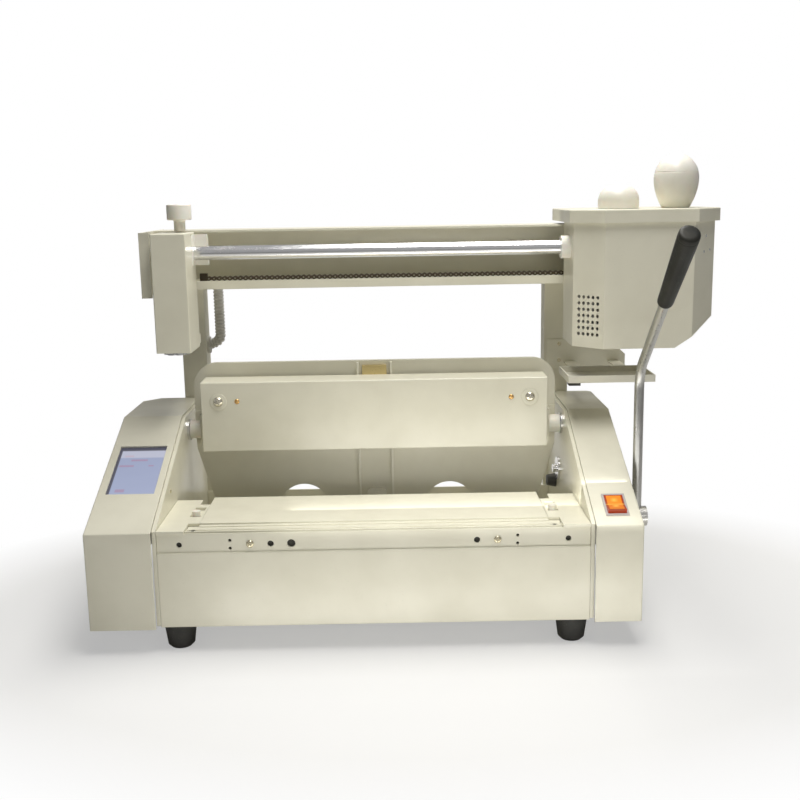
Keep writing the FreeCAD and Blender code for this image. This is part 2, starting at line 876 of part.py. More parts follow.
def display():
    """Touch display behind its window: module and glass."""
    shares = ("window_low_share", "window_high_share")
    spans = ("-window_left - screen_edge", "-window_right + screen_edge")
    glass_top = "-sheet - gap"
    glass = on_slope(
        "glass_plate", spans, shares, (f"{glass_top} - screen_glass", glass_top), "-screen_edge"
    )
    subpart("display_glass", glass)
    module = on_slope(
        "module_box", spans, shares,
        (f"{glass_top} - screen_glass - module_depth", f"{glass_top} - screen_glass"),
        "-screen_edge",
    )
    subpart("display_module", module)


def right_cover():
    """Narrow cover whose slope has the opening of the mains switch."""
    shell, hollow = side_cover("right_cover", 1, "right_cover_out", "right_corner")
    opening = on_slope(
        "switch_opening",
        ("switch_left + thin_sheet - gap", "switch_right - thin_sheet + gap"),
        ("switch_low_share", "switch_high_share"),
        ("-sheet - overrun", "overrun"),
        "thin_sheet - gap",
    )
    shaft_way = disc(
        "cover_shaft_hole", "X", "shaft_radius + 2 * gap",
        ("frame_half + side_wall", "right_cover_out + overrun"), ("shaft_y", "shaft_z"),
    )
    subpart("right_cover", cut("right_cover_sheet", shell, hollow, opening, shaft_way))


def mains_switch():
    """Snap-in switch: a housing with a bezel, and its rocker."""
    shares = ("switch_low_share", "switch_high_share")
    bezel = on_slope("switch_bezel", ("switch_left", "switch_right"), shares, ("0", "bezel_rise"))
    body = on_slope(
        "switch_body", ("switch_left + thin_sheet", "switch_right - thin_sheet"), shares,
        ("-switch_depth", "0"), "thin_sheet",
    )
    well = on_slope(
        "switch_well",
        ("switch_left + bezel_rim", "switch_right - bezel_rim"), shares,
        ("-switch_depth + sheet", "bezel_rise + overrun"), "bezel_rim",
    )
    housing = cut("switch_shell", joined("switch_solid", bezel, body), well)
    subpart("switch_housing", housing)
    half = "(switch_length / 2 - bezel_rim - 2 * gap)"
    outline = [
        (f"-{half}", "rocker_lip"),
        (f"-{half} + gap", "-rocker_waist"),
        (f"-{half} / 2", "-rocker_skirt"),
        (f"{half} / 2", "-rocker_skirt"),
        (f"{half} - gap", "-rocker_waist"),
        (half, "rocker_lip"),
        ("gap", "rocker_waist"),
        ("-gap", "rocker_waist"),
    ]
    paddle = profile(
        "rocker_profile", "YZ", outline,
        ("switch_left + bezel_rim + gap", "switch_right - bezel_rim - gap"),
    )
    lean(paddle, "slope_angle - rocker_tilt * 1 deg")
    put(
        paddle, "0",
        "-cover_proud + switch_middle * cos(slope_angle)",
        "table_z + switch_middle * sin(slope_angle)",
    )
    subpart("power_rocker", paddle)


def feet():
    """Four tapered rubber feet, rounded at the tread."""
    outline = [
        ("0", "0"),
        ("foot_tread_radius - foot_round", "0"),
        ("foot_tread_radius", "foot_round"),
        ("foot_radius", "foot_height - foot_round"),
        ("foot_radius", "foot_height + sheet"),
        ("0", "foot_height + sheet"),
    ]
    legs = [
        turned(f"foot_{i}", outline, (f"{side}foot_from_centre", y, "0"))
        for i, (side, y) in enumerate(
            (side, y) for side in ("-", "") for y in ("front_foot_y", "rear_foot_y")
        )
    ]
    subpart("feet", group("four_feet", *legs))


def table():
    """Two shoulder plates with a slot each, and the bed under the nip."""
    notch_y = "table_rear_y - 2 * (jaw_rear_y - table_rear_y)"
    outline = [
        ("cutout_half", "front_y"),
        ("frame_half - gap", "front_y"),
        ("frame_half - gap", "table_rear_y"),
        ("cutout_half - 2 * gap", "table_rear_y"),
        ("cutout_half - 2 * gap", notch_y),
        ("jaw_half + gap", notch_y),
        ("jaw_half + gap", "cutout_rear_y"),
        ("cutout_half", "cutout_rear_y"),
    ]
    plate = profile("shoulder_sheet", "XY", outline, ("under_table_z", "table_z"))
    slot = block(
        "shoulder_slot", ("slot_near", "slot_far"), ("slot_front_y", "slot_rear_y"),
        ("under_table_z - overrun", "table_z + overrun"),
    )
    right = cut("right_shoulder", plate, slot)
    subpart("table_plates", group("shoulders", mirrored("left_shoulder", right), right))
    bed = block(
        "bed_bar",
        ("-frame_half + gap", "frame_half - gap"),
        ("front_y + band_recess + sheet + gap", "bed_y"),
        ("bar_low_z - bed_depth", "bar_low_z"),
    )
    subpart("nip_bed", bed)


def grooved_bar(name, half, y, low_z):
    """One bar of the nip, with a groove along the middle of its top."""
    middle = f"({y[0]} + {y[1]}) / 2"
    bar = block(name, (f"-({half})", half), y, (low_z, "table_z - bar_drop"))
    groove = block(
        f"{name}_groove", (f"-({half}) - overrun", f"{half} + overrun"),
        (f"{middle} - groove_width / 2", f"{middle} + groove_width / 2"),
        ("table_z - bar_drop - groove_depth", "table_z"),
    )
    return cut(f"{name}_grooved", bar, groove)


def nip():
    """Fixed front bar, and the sliding jaw that closes against it."""
    front_y = "(front_y + band_recess + sheet + gap)"
    fixed = grooved_bar(
        "fixed_bar", "cutout_half - gap", (front_y, "nip_y - nip_gap / 2"), "bar_low_z"
    )
    bolt_holes = [
        disc(f"bar_hole_{i}", "Z", "bar_hole_radius", ("bar_low_z + sheet", "table_z"),
             (side + "bar_hole_x", f"({front_y} + nip_y - nip_gap / 2) / 2"))
        for i, side in enumerate(("-", ""))
    ]
    subpart("front_nip_bar", cut("drilled_fixed_bar", fixed, *bolt_holes))
    moving = grooved_bar(
        "moving_bar", "jaw_half", ("nip_y + nip_gap / 2", "cutout_rear_y"), "bar_low_z + gap"
    )
    ends = block(
        "moving_bar_ends", ("-cutout_half + gap", "cutout_half - gap"),
        ("nip_y + nip_gap / 2", "cutout_rear_y"), ("bar_low_z + gap", "under_table_z - gap"),
    )
    x = ("-jaw_half", "jaw_half")
    top = block("jaw_top", x, ("cutout_rear_y", "jaw_rear_y"), ("under_table_z", "table_z"))
    web = block(
        "jaw_web", x, ("cutout_rear_y - ear_sheet", "bed_y - ear_sheet"),
        ("under_table_z - ear_sheet", "under_table_z"),
    )
    pad = block("jaw_pad", x, ("ear_front_y", "ear_rear_y"), ("ear_high_z", "under_table_z"))
    ears = block(
        "jaw_ears", ("-ear_half", "ear_half"), ("ear_front_y", "ear_rear_y"),
        ("ear_high_z - ear_sheet", "ear_high_z"),
    )
    forks = [fork(side) for side in (-1, 1)]
    subpart("nip_jaw", joined("jaw_solid", moving, ends, top, web, pad, ears, *forks))
    pins = [
        disc(
            f"nip_pin_{i}", "Z", "pin_radius", ("ear_high_z", "table_z + pin_rise"),
            (f"{side} * (slot_near + slot_far) / 2", "pin_y"),
        )
        for i, side in enumerate((-1, 1))
    ]
    subpart("nip_pins", group("two_nip_pins", *pins))


def fork(side):
    """Cheek below the jaw: a window round the cross shaft and a slot for the crank pin."""
    near = f"{side} * crank_x - fork_sheet / 2"
    x = (near, f"{near} + fork_sheet")
    through = (f"{x[0]} - overrun", f"{x[1]} + overrun")
    window_y = (
        "shaft_y - nip_travel - shaft_radius - 2 * gap", "shaft_y + shaft_radius + 2 * gap"
    )
    top = "(ear_high_z - ear_sheet)"
    cheek = block(
        f"cheek_{side + 1}", x, (f"{window_y[0]} - fork_wall", f"{window_y[1]} + fork_wall"),
        (f"{top} - fork_length", top),
    )
    window = block(
        f"cheek_window_{side + 1}", through, window_y,
        ("shaft_z - shaft_radius - 2 * gap", "shaft_z + shaft_radius + 2 * gap"),
    )
    slot = block(
        f"cheek_slot_{side + 1}", through,
        ("crank_pin_y - crank_pin_radius - gap", "crank_pin_y + crank_pin_radius + gap"),
        (f"{top} - fork_length - overrun",
         "shaft_z - crank_length * cos(crank_lag) + crank_pin_radius + gap"),
    )
    return cut(f"open_cheek_{side + 1}", cheek, window, slot)


def crank(side):
    """Crank on the cross shaft: boss, web, eye and pin."""
    pin = ("crank_pin_y", "crank_pin_z")
    web_x = f"{side} * (crank_x + fork_sheet / 2 + gap + crank_sheet / 2)"
    sides = (f"{web_x} - crank_sheet / 2", f"{web_x} + crank_sheet / 2")
    boss = disc(f"crank_boss_{side + 1}", "X", "shaft_radius + sheet", sides,
                ("shaft_y", "shaft_z"))
    eye = disc(f"crank_eye_{side + 1}", "X", "crank_pin_radius + sheet", sides, pin)
    web = document.addObject("Part::Box", f"crank_web_{side + 1}")
    bind(web, Length="crank_sheet", Width="crank_width", Height="crank_length")
    lean(web, "-1 deg * crank_lag")
    put(
        web, sides[0],
        "crank_pin_y - crank_width / 2 * cos(crank_lag)",
        "crank_pin_z + crank_width / 2 * sin(crank_lag)",
    )
    reach = ("crank_x - fork_sheet / 2 - gap", "crank_x + fork_sheet / 2 + gap + crank_sheet / 2")
    stub = disc(f"crank_pin_{side + 1}", "X", "crank_pin_radius", sided(side, *reach), pin)
    return [boss, eye, web, stub]


def lever():
    """Cross shaft with its two cranks, the hub, the bent rod and the grip."""
    shaft = disc(
        "cross_shaft", "X", "shaft_radius",
        ("-frame_half - side_wall", "hub_right - sheet"), ("shaft_y", "shaft_z"),
    )
    subpart("lever_shaft", joined("shaft_with_cranks", shaft, *crank(-1), *crank(1)))

    hub = disc("hub_boss", "X", "hub_radius", ("hub_left", "hub_right"), ("shaft_y", "shaft_z"))
    hub_bore = disc(
        "hub_bore", "X", "shaft_radius", ("hub_left - overrun", "hub_right + overrun"),
        ("shaft_y", "shaft_z"),
    )
    seat_z = "shaft_z + shaft_radius + gap"
    rod_bore = disc(
        "hub_rod_bore", "Z", "rod_radius", (seat_z, "shaft_z + 2 * hub_radius"),
        ("lever_x", "shaft_y"),
    )
    subpart("lever_hub", cut("bored_hub", hub, hub_bore, rod_bore))

    x = value("lever_x")
    start = Vector(x, value("shaft_y"), value(seat_z))
    corner = Vector(x, value("bend_y"), value("bend_z"))
    low = Vector(x, value("grip_low_y"), value("grip_low_z"))
    top = Vector(x, value("grip_top_y"), value("grip_top_z"))
    direction = (top - low).normalize()
    end = low + direction * value("grip_bore_depth")
    neck = Vector(x, value("shaft_y"), value("shaft_z + 3 * hub_radius"))
    bend = value("bend_radius")
    path = bent_path([start, neck, corner, low, end], [bend, bend, 2 * bend])
    subpart("lever_rod", drawn("bent_rod", swept(path, value("rod_radius"))))

    outer = Part.makeCone(
        value("grip_low_radius"), value("grip_top_radius"), (top - low).Length, low, direction
    )
    ends = [edge for edge in outer.Edges if isinstance(edge.Curve, Part.Circle)]
    outer = outer.makeFillet(value("grip_round"), ends)
    bore = Part.makeCylinder(value("rod_radius"), value("grip_bore_depth + gap"), low, direction)
    subpart("lever_grip", drawn("grip", outer.cut(bore)))


def bent_path(points, radii):
    """A wire of straight runs joined by arcs that touch them."""
    edges = []
    last = points[0]
    for i in range(1, len(points) - 1):
        back = (points[i - 1] - points[i]).normalize()
        ahead = (points[i + 1] - points[i]).normalize()
        turn = math.pi - back.getAngle(ahead)
        if turn < 1e-3:
            continue
        trim = radii[i - 1] * math.tan(turn / 2)
        first, second = points[i] + back * trim, points[i] + ahead * trim
        middle_line = (back + ahead).normalize()
        centre = points[i] + middle_line * (radii[i - 1] / math.cos(turn / 2))
        middle = centre - middle_line * radii[i - 1]
        edges += [Part.LineSegment(last, first).toShape(), Part.Arc(first, middle, second).toShape()]
        last = second
    edges.append(Part.LineSegment(last, points[-1]).toShape())
    return Part.Wire(edges)


def swept(path, radius):
    """A round bar along a path."""
    first = path.Edges[0]
    start = first.valueAt(first.FirstParameter)
    section = Part.Wire(Part.makeCircle(radius, start, first.tangentAt(first.FirstParameter)))
    return path.makePipeShell([section], True, False)


def clamp_board():
    """Rear board of the book clamp, with its ribs, blocks and pivots."""
    outline = [
        ("-board_half", "board_top_z"),
        ("-board_half", "taper_z"),
        ("-board_low_half", "board_low_z"),
        ("board_low_half", "board_low_z"),
        ("board_half", "taper_z"),
        ("board_half", "board_top_z"),
    ]
    across = ("board_y", "board_y + board_sheet")
    board = profile(
        "board_sheet_body", "XZ", outline, across, "board_corner",
        lambda edge: along(edge, AXIS_Y) and reaches(edge, AXIS_Z, value("board_top_z")),
    )
    through = (across[0] + " - overrun", across[1] + " + overrun")
    holes = []
    for i, side in enumerate(("-", "")):
        holes.append(disc(f"finger_notch_{i}", "Y", "finger_radius", through,
                          (side + "finger_x", "finger_z")))
        holes.append(disc(f"guide_hole_{i}", "Y", "guide_radius + running_gap", through,
                          (side + "guide_x", "guide_z")))
    subpart("clamp_board", cut("holed_board", board, *holes))

    depth = ("board_y - rib_depth", "board_y")
    ribs = [
        block(f"rib_{i}", x, depth, ("rib_low_z", "board_top_z - sheet"))
        for i, x in enumerate((
            ("-rib_from_centre - rib_sheet", "-rib_from_centre"),
            ("rib_from_centre", "rib_from_centre + rib_sheet"),
        ))
    ]
    foot = profile(
        "rib_foot_block", "XZ",
        [("-foot_block_half", "rib_low_z"), ("foot_block_half", "rib_low_z"),
         ("foot_block_half", "foot_block_high_z"), ("-foot_block_half", "foot_block_high_z")],
        depth, "foot_block_round",
        lambda edge: along(edge, AXIS_Y) and reaches(edge, AXIS_Z, value("foot_block_high_z")),
    )
    foot_bolt = disc(
        "rib_foot_bolt", "Y", "guide_radius / 2 + gap",
        ("board_y - rib_depth - screw_head / 2", "board_y - rib_depth"),
        ("0", "(rib_low_z + foot_block_high_z) / 2"),
    )
    subpart("board_ribs", group("ribs_and_foot", *ribs, joined("foot_and_bolt", foot, foot_bolt)))
    subpart("brass_block", block(
        "nut_block", ("-brass_half", "brass_half"), depth, ("brass_low_z", "brass_high_z")))

    bracket = block(
        "bracket_ear", ("bracket_inner", "bracket_inner + bracket_sheet"),
        ("bracket_front_y", "board_y"), ("bracket_low_z", "bracket_high_z"),
    )
    foot_flange = block(
        "bracket_flange", ("bracket_inner", "board_half - gap"),
        ("board_y - bracket_sheet", "board_y"), ("bracket_low_z", "bracket_high_z"),
    )
    bracket_bore = disc(
        "bracket_bore", "X", "pivot_radius",
        ("bracket_inner - overrun", "bracket_inner + bracket_sheet + overrun"),
        ("pivot_y", "pivot_z"),
    )
    ear_screws = [
        disc(f"ear_screw_{i}", "X", "guide_radius / 2",
             ("bracket_inner + bracket_sheet", "bracket_inner + bracket_sheet + sheet"),
             ("pivot_y", f"pivot_z {sign} (collar_radius + guide_radius / 2 + gap)"))
        for i, sign in enumerate("+-")
    ]
    right = joined(
        "bracket_with_screws",
        cut("bored_bracket", joined("bracket_angle", bracket, foot_flange), bracket_bore),
        *ear_screws,
    )
    subpart("pivot_brackets", group("two_brackets", mirrored("left_bracket", right), right))

    outline = [
        ("0", "0"),
        ("pivot_radius", "0"),
        ("pivot_radius", "bracket_sheet"),
        ("collar_radius", "bracket_sheet"),
        ("collar_radius", "frame_half - ring_length - gap - bracket_inner"),
        ("pivot_radius", "frame_half - ring_length - gap - bracket_inner"),
        ("pivot_radius", "frame_half + side_wall + rear_flange / 2 - bracket_inner"),
        ("0", "frame_half + side_wall + rear_flange / 2 - bracket_inner"),
    ]
    pin = turned("pivot_pin", outline, ("bracket_inner", "pivot_y", "pivot_z"), "X")
    subpart("pivot_pins", group("two_pivot_pins", mirrored("left_pivot_pin", pin), pin))


def clamp_jaw():
    """Front jaw: an inverted channel, its guide pins and its screws."""
    outline = [
        ("jaw_y", "jaw_low_z"),
        ("jaw_y + jaw_sheet", "jaw_low_z"),
        ("jaw_y + jaw_sheet", "jaw_high_z - jaw_sheet"),
        ("jaw_y + jaw_depth - jaw_sheet", "jaw_high_z - jaw_sheet"),
        ("jaw_y + jaw_depth - jaw_sheet", "jaw_low_z"),
        ("jaw_y + jaw_depth", "jaw_low_z"),
        ("jaw_y + jaw_depth", "jaw_high_z"),
        ("jaw_y", "jaw_high_z"),
    ]
    shell = profile(
        "jaw_channel", "YZ", outline, ("-jaw_length_half", "jaw_length_half"), "jaw_bend",
        lambda edge: along(edge, AXIS_X) and reaches(edge, AXIS_Z, value("jaw_high_z")),
    )
    holes = [
        disc(f"jaw_rear_hole_{i}", "Y", "guide_radius",
             ("jaw_y + sheet + jaw_sheet", "board_y"), (side + "guide_x", "guide_z"))
        for i, side in enumerate(("-", ""))
    ]
    subpart("clamp_jaw", cut("jaw_with_holes", shell, *holes))
    pins = [
        disc(f"guide_pin_{i}", "Y", "guide_radius",
             ("jaw_y + jaw_sheet", "board_y + board_sheet + guide_tail"),
             (side + "guide_x", "guide_z"))
        for i, side in enumerate(("-", ""))
    ]
    subpart("jaw_guide_pins", group("two_guide_pins", *pins))
    screws = []
    for i, side in enumerate(("-", "")):
        washer = disc(f"jaw_washer_{i}", "Y", "washer_radius",
                      ("jaw_y - washer_sheet", "jaw_y"), (side + "guide_x", "guide_z"))
        head = disc(f"jaw_screw_head_{i}", "Y", "screw_head_radius - thin_sheet",
                    ("jaw_y - washer_sheet - screw_head", "jaw_y - washer_sheet"),
                    (side + "guide_x", "guide_z"), "screw_head_radius")
        screws.append(joined(f"jaw_screw_{i}", washer, head))
    subpart("jaw_screws", group("two_jaw_screws", *screws))
    brass = [
        disc(f"brass_screw_{i}", "Y", "brass_screw_radius - thin_sheet",
             ("jaw_y - screw_head / 2", "jaw_y"), (side + "brass_screw_x", "guide_z"),
             "brass_screw_radius")
        for i, side in enumerate(("-", ""))
    ]
    subpart("jaw_brass_screws", group("two_brass_screws", *brass))


def post(label, side, *holes):
    """A channel post behind the frame, open to the rear."""
    height = ("foot_height + sheet", "post_top_z")
    outer = block(
        f"{label}_outer", sided(side, "post_near", "post_far"),
        ("post_y", "post_y + post_depth"), height,
    )
    inner = block(
        f"{label}_inner", sided(side, "post_near + post_sheet", "post_far - post_sheet"),
        ("post_y + post_sheet", "post_y + post_depth + overrun"),
        (f"{height[0]} - overrun", f"{height[1]} - post_sheet"),
    )
    subpart(label, cut(f"{label}_channel", outer, inner, *holes))


def gland_bore(name):
    """The hole in the left post for the conduit's gland."""
    return disc(
        name, "X", "conduit_crest_radius + gland_wall",
        ("-post_near - post_sheet - overrun", "-post_near + overrun"),
        ("conduit_y", "conduit_end_z"),
    )


def beam():
    """Channel beam open to the front, its end plates and the guide rod."""
    outline = [
        ("beam_front_y", "beam_low_z"),
        ("beam_front_y + beam_sheet", "beam_low_z"),
        ("beam_front_y + beam_sheet", "beam_ledge_z - beam_sheet"),
        ("post_y", "beam_ledge_z - beam_sheet"),
        ("post_y", "beam_high_z"),
        ("beam_front_y", "beam_high_z"),
        ("beam_front_y", "beam_high_z - beam_sheet"),
        ("post_y - beam_sheet", "beam_high_z - beam_sheet"),
        ("post_y - beam_sheet", "beam_ledge_z"),
        ("beam_front_y", "beam_ledge_z"),
    ]
    channel = profile(
        "beam_channel", "YZ", outline,
        ("-beam_left + beam_sheet", "beam_right - beam_sheet"), "jaw_bend",
        lambda edge: along(edge, AXIS_X) and (
            reaches(edge, AXIS_Y, value("post_y"))
            or reaches(edge, AXIS_Z, value("beam_high_z"))
        ) and not (
            reaches(edge, AXIS_Y, value("beam_front_y"))
        ),
    )
    subpart("beam", channel)
    left = block(
        "left_end_sheet", ("-beam_left", "-beam_left + beam_sheet"),
        ("end_front_y", "post_y"), ("end_low_z", "beam_high_z + gap"),
    )
    left_return = block(
        "left_end_return", ("-beam_left", "-beam_left + end_return"),
        ("end_front_y", "end_front_y + beam_sheet"), ("end_low_z", "beam_high_z + gap"),
    )
    subpart("left_end_plate", joined("left_end", left, left_return))
    right = block(
        "right_end_sheet", ("beam_right - beam_sheet", "beam_right"),
        ("right_end_front_y", "post_y"), ("end_low_z", "beam_high_z + gap"),
    )
    subpart("right_end_plate", right)
    subpart("guide_rod", disc(
        "rod", "X", "guide_rod_radius",
        ("-beam_left + beam_sheet", "beam_right - beam_sheet"), ("rod_y", "rod_z")))


def drive_chain():
    """Roller chain laid along the ledge: two waisted side strips and its rollers."""
    pitch = value("chain_pitch")
    links = int(value("chain_links"))
    left = -value("chain_left")
    middle_z = value("beam_ledge_z + plate_height / 2")
    lobe, waist = value("plate_height / 2"), value("plate_waist / 2")
    upper = []
    for i in range(links):
        x = left + i * pitch
        upper += [(x - pitch / 4, lobe), (x + pitch / 4, lobe), (x + pitch / 2, waist)]
    upper.pop()
    inner = value("inner_width / 2")
    plate = value("plate_sheet")
    y = value("chain_y")
    strips = []
    for front in (y - inner - plate, y + inner):
        loop = [Vector(x, front, middle_z + z) for x, z in upper]
        loop += [Vector(x, front, middle_z - z) for x, z in reversed(upper)]
        face = Part.Face(Part.makePolygon(loop + loop[:1]))
        strips.append(face.extrude(Vector(0, plate, 0)))
    sides = 8
    radius = value("roller_radius")
    rollers = []
    for i in range(links):
        ring = [
            Vector(
                left + i * pitch + radius * math.cos((k + 0.5) * 2 * math.pi / sides),
                y - inner,
                middle_z + radius * math.sin((k + 0.5) * 2 * math.pi / sides),
            )
            for k in range(sides)
        ]
        face = Part.Face(Part.makePolygon(ring + ring[:1]))
        rollers.append(face.extrude(Vector(0, 2 * inner, 0)))
    subpart("drive_chain", drawn("chain", strips[0].fuse(strips[1:] + rollers)))
    run = "chain_pitch * (chain_links - 1)"
    anchors = []
    for i, (start, stop) in enumerate((
        (f"-chain_left - anchor_length - chain_pitch / 4", "-chain_left - chain_pitch / 4"),
        (f"-chain_left + {run} + chain_pitch / 4",
         f"-chain_left + {run} + chain_pitch / 4 + anchor_length"),
    )):
        anchors.append(block(
            f"chain_anchor_{i}", (start, stop),
            ("chain_y - inner_width / 2 - plate_sheet", "chain_y + inner_width / 2 + plate_sheet"),
            ("beam_ledge_z", "beam_ledge_z + anchor_height"),
        ))
    subpart("chain_anchors", group("two_anchors", *anchors))


def milling_head():
    """Left head: sheet housing, slider on the rod, motor, cutter and knob."""
    x = ("-mill_left", "-mill_right")
    corners = [(x[0], "mill_front_y"), (x[1], "mill_front_y"),
               (x[1], "mill_rear_y"), (x[0], "mill_rear_y")]
    shell = profile(
        "mill_box", "XY", corners, ("mill_low_z", "mill_high_z"), "cover_bend - gap",
        lambda edge: (along(edge, AXIS_Z) and reaches(edge, AXIS_Y, value("mill_front_y")))
        or (reaches(edge, AXIS_Z, value("mill_high_z"))
            and not reaches(edge, AXIS_Y, value("mill_rear_y"))),
    )
    hollow = block(
        "mill_hollow", (f"{x[0]} + thin_sheet", f"{x[1]} - thin_sheet"),
        ("mill_front_y + thin_sheet", "mill_rear_y + overrun"),
        ("mill_low_z - overrun", "mill_high_z - thin_sheet"),
    )
    way = block(
        "mill_slider_way", (f"{x[0]} - overrun", f"{x[1]} + overrun"),
        ("rod_y - slider_half", "mill_rear_y + overrun"),
        ("slider_low_z", "slider_high_z"),
    )
    knob_way = disc("mill_knob_way", "Z", "stem_radius + gap",
                    ("slider_high_z", "mill_high_z + overrun"), ("-knob_x", "rod_y"))
    lip = block(
        "mill_lip_sheet", (f"{x[1]} - thin_sheet", x[1]),
        ("mill_rear_y", "mill_rear_y + mill_lip"),
        ("mill_low_z + mill_lip / 2", "mill_low_z + 2 * mill_lip"),
    )
    subpart("mill_shell", joined("mill_housing", cut("mill_cut", shell, hollow, way, knob_way), lip))

    slider = profile(
        "slider_block", "YZ",
        [("rod_y - slider_half", "slider_low_z"), ("rod_y + slider_half", "slider_low_z"),
         ("rod_y + slider_half", "slider_high_z"), ("rod_y - slider_half", "slider_high_z")],
        (x[0], "-slider_right"), "slider_round",
        lambda edge: along(edge, AXIS_X) and reaches(edge, AXIS_Z, value("slider_high_z")),
    )
    bore = disc("slider_bore", "X", "guide_rod_radius + running_gap",
                (f"{x[0]} - overrun", "-slider_right + overrun"), ("rod_y", "rod_z"))
    knob_hole = disc("slider_knob_hole", "Z", "stem_radius / 2 + running_gap",
                     ("rod_z", "slider_high_z + overrun"), ("-knob_x", "rod_y"))
    rod_side = block(
        "slider_front_cut", (f"{x[1]} + gap", "-slider_right + overrun"),
        ("rod_y - slider_half - overrun", "rod_y + 2 * sheet"),
        ("slider_low_z - overrun", "slider_high_z + overrun"),
    )
    subpart("mill_slider", cut("bored_slider", slider, bore, knob_hole, rod_side))

    outline = [
        ("0", "rod_z + guide_rod_radius + gap"),
        ("stem_radius / 2", "rod_z + guide_rod_radius + gap"),
        ("stem_radius / 2", "slider_high_z + gap"),
        ("stem_radius", "slider_high_z + gap"),
        ("stem_radius", "knob_low_z"),
        ("knob_radius - knob_round / 2", "knob_low_z"),
        ("knob_radius", "knob_low_z + knob_round / 2"),
        ("knob_radius", "knob_high_z - knob_round"),
        ("knob_radius - knob_round", "knob_high_z"),
        ("0", "knob_high_z"),
    ]
    subpart("mill_knob", turned("knob", outline, ("-knob_x", "rod_y", "0")))

    middle = ("-(mill_left + mill_right) / 2", "motor_y")
    motor = disc("motor_can", "Z", "motor_radius", ("motor_low_z", "motor_high_z"), middle)
    strap = block(
        "motor_strap", (f"{x[0]} + thin_sheet", f"{x[1]} - thin_sheet"),
        ("mill_front_y + thin_sheet", "mill_rear_y"),
        ("motor_high_z - sheet", "motor_high_z + sheet"),
    )
    boss_hole = disc("motor_shaft_bore", "Z", "spindle_radius + running_gap",
                     ("motor_low_z - overrun", "motor_high_z - 2 * sheet"), middle)
    subpart("mill_motor", cut("motor_with_bore", joined("motor_body", motor, strap), boss_hole))

    blade = disc("cutter_disc", "Z", "cutter_radius",
                 ("cutter_low_z", "cutter_low_z + cutter_sheet"), middle)
    notches = []
    teeth = int(value("cutter_teeth"))
    for i in range(teeth):
        angle = i * 2 * math.pi / teeth
        notches.append(disc(
            f"cutter_notch_{i}", "Z", "cutter_notch",
            ("cutter_low_z - overrun", "cutter_low_z + cutter_sheet + overrun"),
            (f"{middle[0]} + cutter_radius * {math.cos(angle):.9f}",
             f"{middle[1]} + cutter_radius * {math.sin(angle):.9f}"),
        ))
    spindle = disc("cutter_spindle", "Z", "spindle_radius",
                   ("cutter_low_z + sheet", "motor_high_z - 2 * sheet - gap"), middle)
    subpart("mill_cutter", joined("cutter", cut("toothed_disc", blade, *notches), spindle))


def glue_plan(rim, rear):
    """The glue housing's plan, widened by a rim."""
    chamfer = f"(glue_chamfer + (2 - sqrt(2)) * ({rim}))"
    left, right = f"glue_left - ({rim})", f"glue_right + ({rim})"
    front = f"glue_front_y - ({rim})"
    return [
        (f"{left} + {chamfer}", front),
        (f"{right} - {chamfer}", front),
        (right, f"{front} + {chamfer}"),
        (right, rear),
        (left, rear),
        (left, f"{front} + {chamfer}"),
    ]


def glue_shell():
    """Housing of the glue carriage: chamfered corners, bevelled lower right edge."""
    box = profile(
        "glue_box", "XY", glue_plan("0", "glue_rear_y"), ("glue_low_z", "glue_high_z"),
        "cover_bend - gap",
        lambda edge: along(edge, AXIS_Z) and not reaches(edge, AXIS_Y, value("glue_rear_y")),
    )
    hollow = profile(
        "glue_hollow", "XY", glue_plan("-thin_sheet", "glue_rear_y - thin_sheet"),
        ("glue_low_z + thin_sheet", "glue_high_z + overrun"),
    )
    across = ("glue_front_y - overrun", "glue_rear_y + overrun")
    bevel = profile(
        "glue_bevel", "XZ",
        [("glue_right - bevel_width", "glue_low_z"),
         ("glue_right + overrun", "glue_low_z + bevel_height * (1 + overrun / bevel_width)"),
         ("glue_right + overrun", "glue_low_z - overrun"),
         ("glue_right - bevel_width", "glue_low_z - overrun")],
        across,
    )
    lean = "sqrt(bevel_width ^ 2 + bevel_height ^ 2)"
    floor = profile(
        "glue_bevel_floor", "XZ",
        [("glue_right - bevel_width", "glue_low_z"),
         ("glue_right - thin_sheet", "glue_low_z + bevel_height - thin_sheet * bevel_height / bevel_width"),
         ("glue_right - thin_sheet",
          f"glue_low_z + bevel_height + thin_sheet * ({lean} - bevel_height) / bevel_width"),
         ("glue_right - bevel_width", f"glue_low_z + thin_sheet * {lean} / bevel_width")],
        ("glue_front_y + glue_chamfer", "glue_rear_y - thin_sheet"),
    )
    throat = block(
        "glue_throat", ("roller_x - glue_roller_radius - gap", "roller_x + glue_roller_radius + gap"),
        ("roller_front_y - gap", "roller_rear_y + gap"),
        ("glue_low_z - overrun", "glue_floor_z + overrun"),
    )
    rod_way = disc("glue_rod_way", "X", "bush_radius",
                   ("glue_left - overrun", "glue_left + bush_length"), ("rod_y", "rod_z"))
    far_way = disc("glue_far_rod_way", "X", "guide_rod_radius + 2 * gap",
                   ("glue_right - 2 * overrun", "glue_right + overrun"), ("rod_y", "rod_z"))
    shaft_way = disc("glue_shaft_way", "Y", "roller_shaft_radius + running_gap",
                     ("glue_rear_y - 2 * overrun", "glue_rear_y + overrun"),
                     ("roller_x", "sprocket_z"))
    vents = vent_holes()
    shell = cut("glue_sheet", box, hollow, bevel, throat, rod_way, far_way, shaft_way, vents)
    subpart("glue_shell", joined("glue_housing", shell, floor))


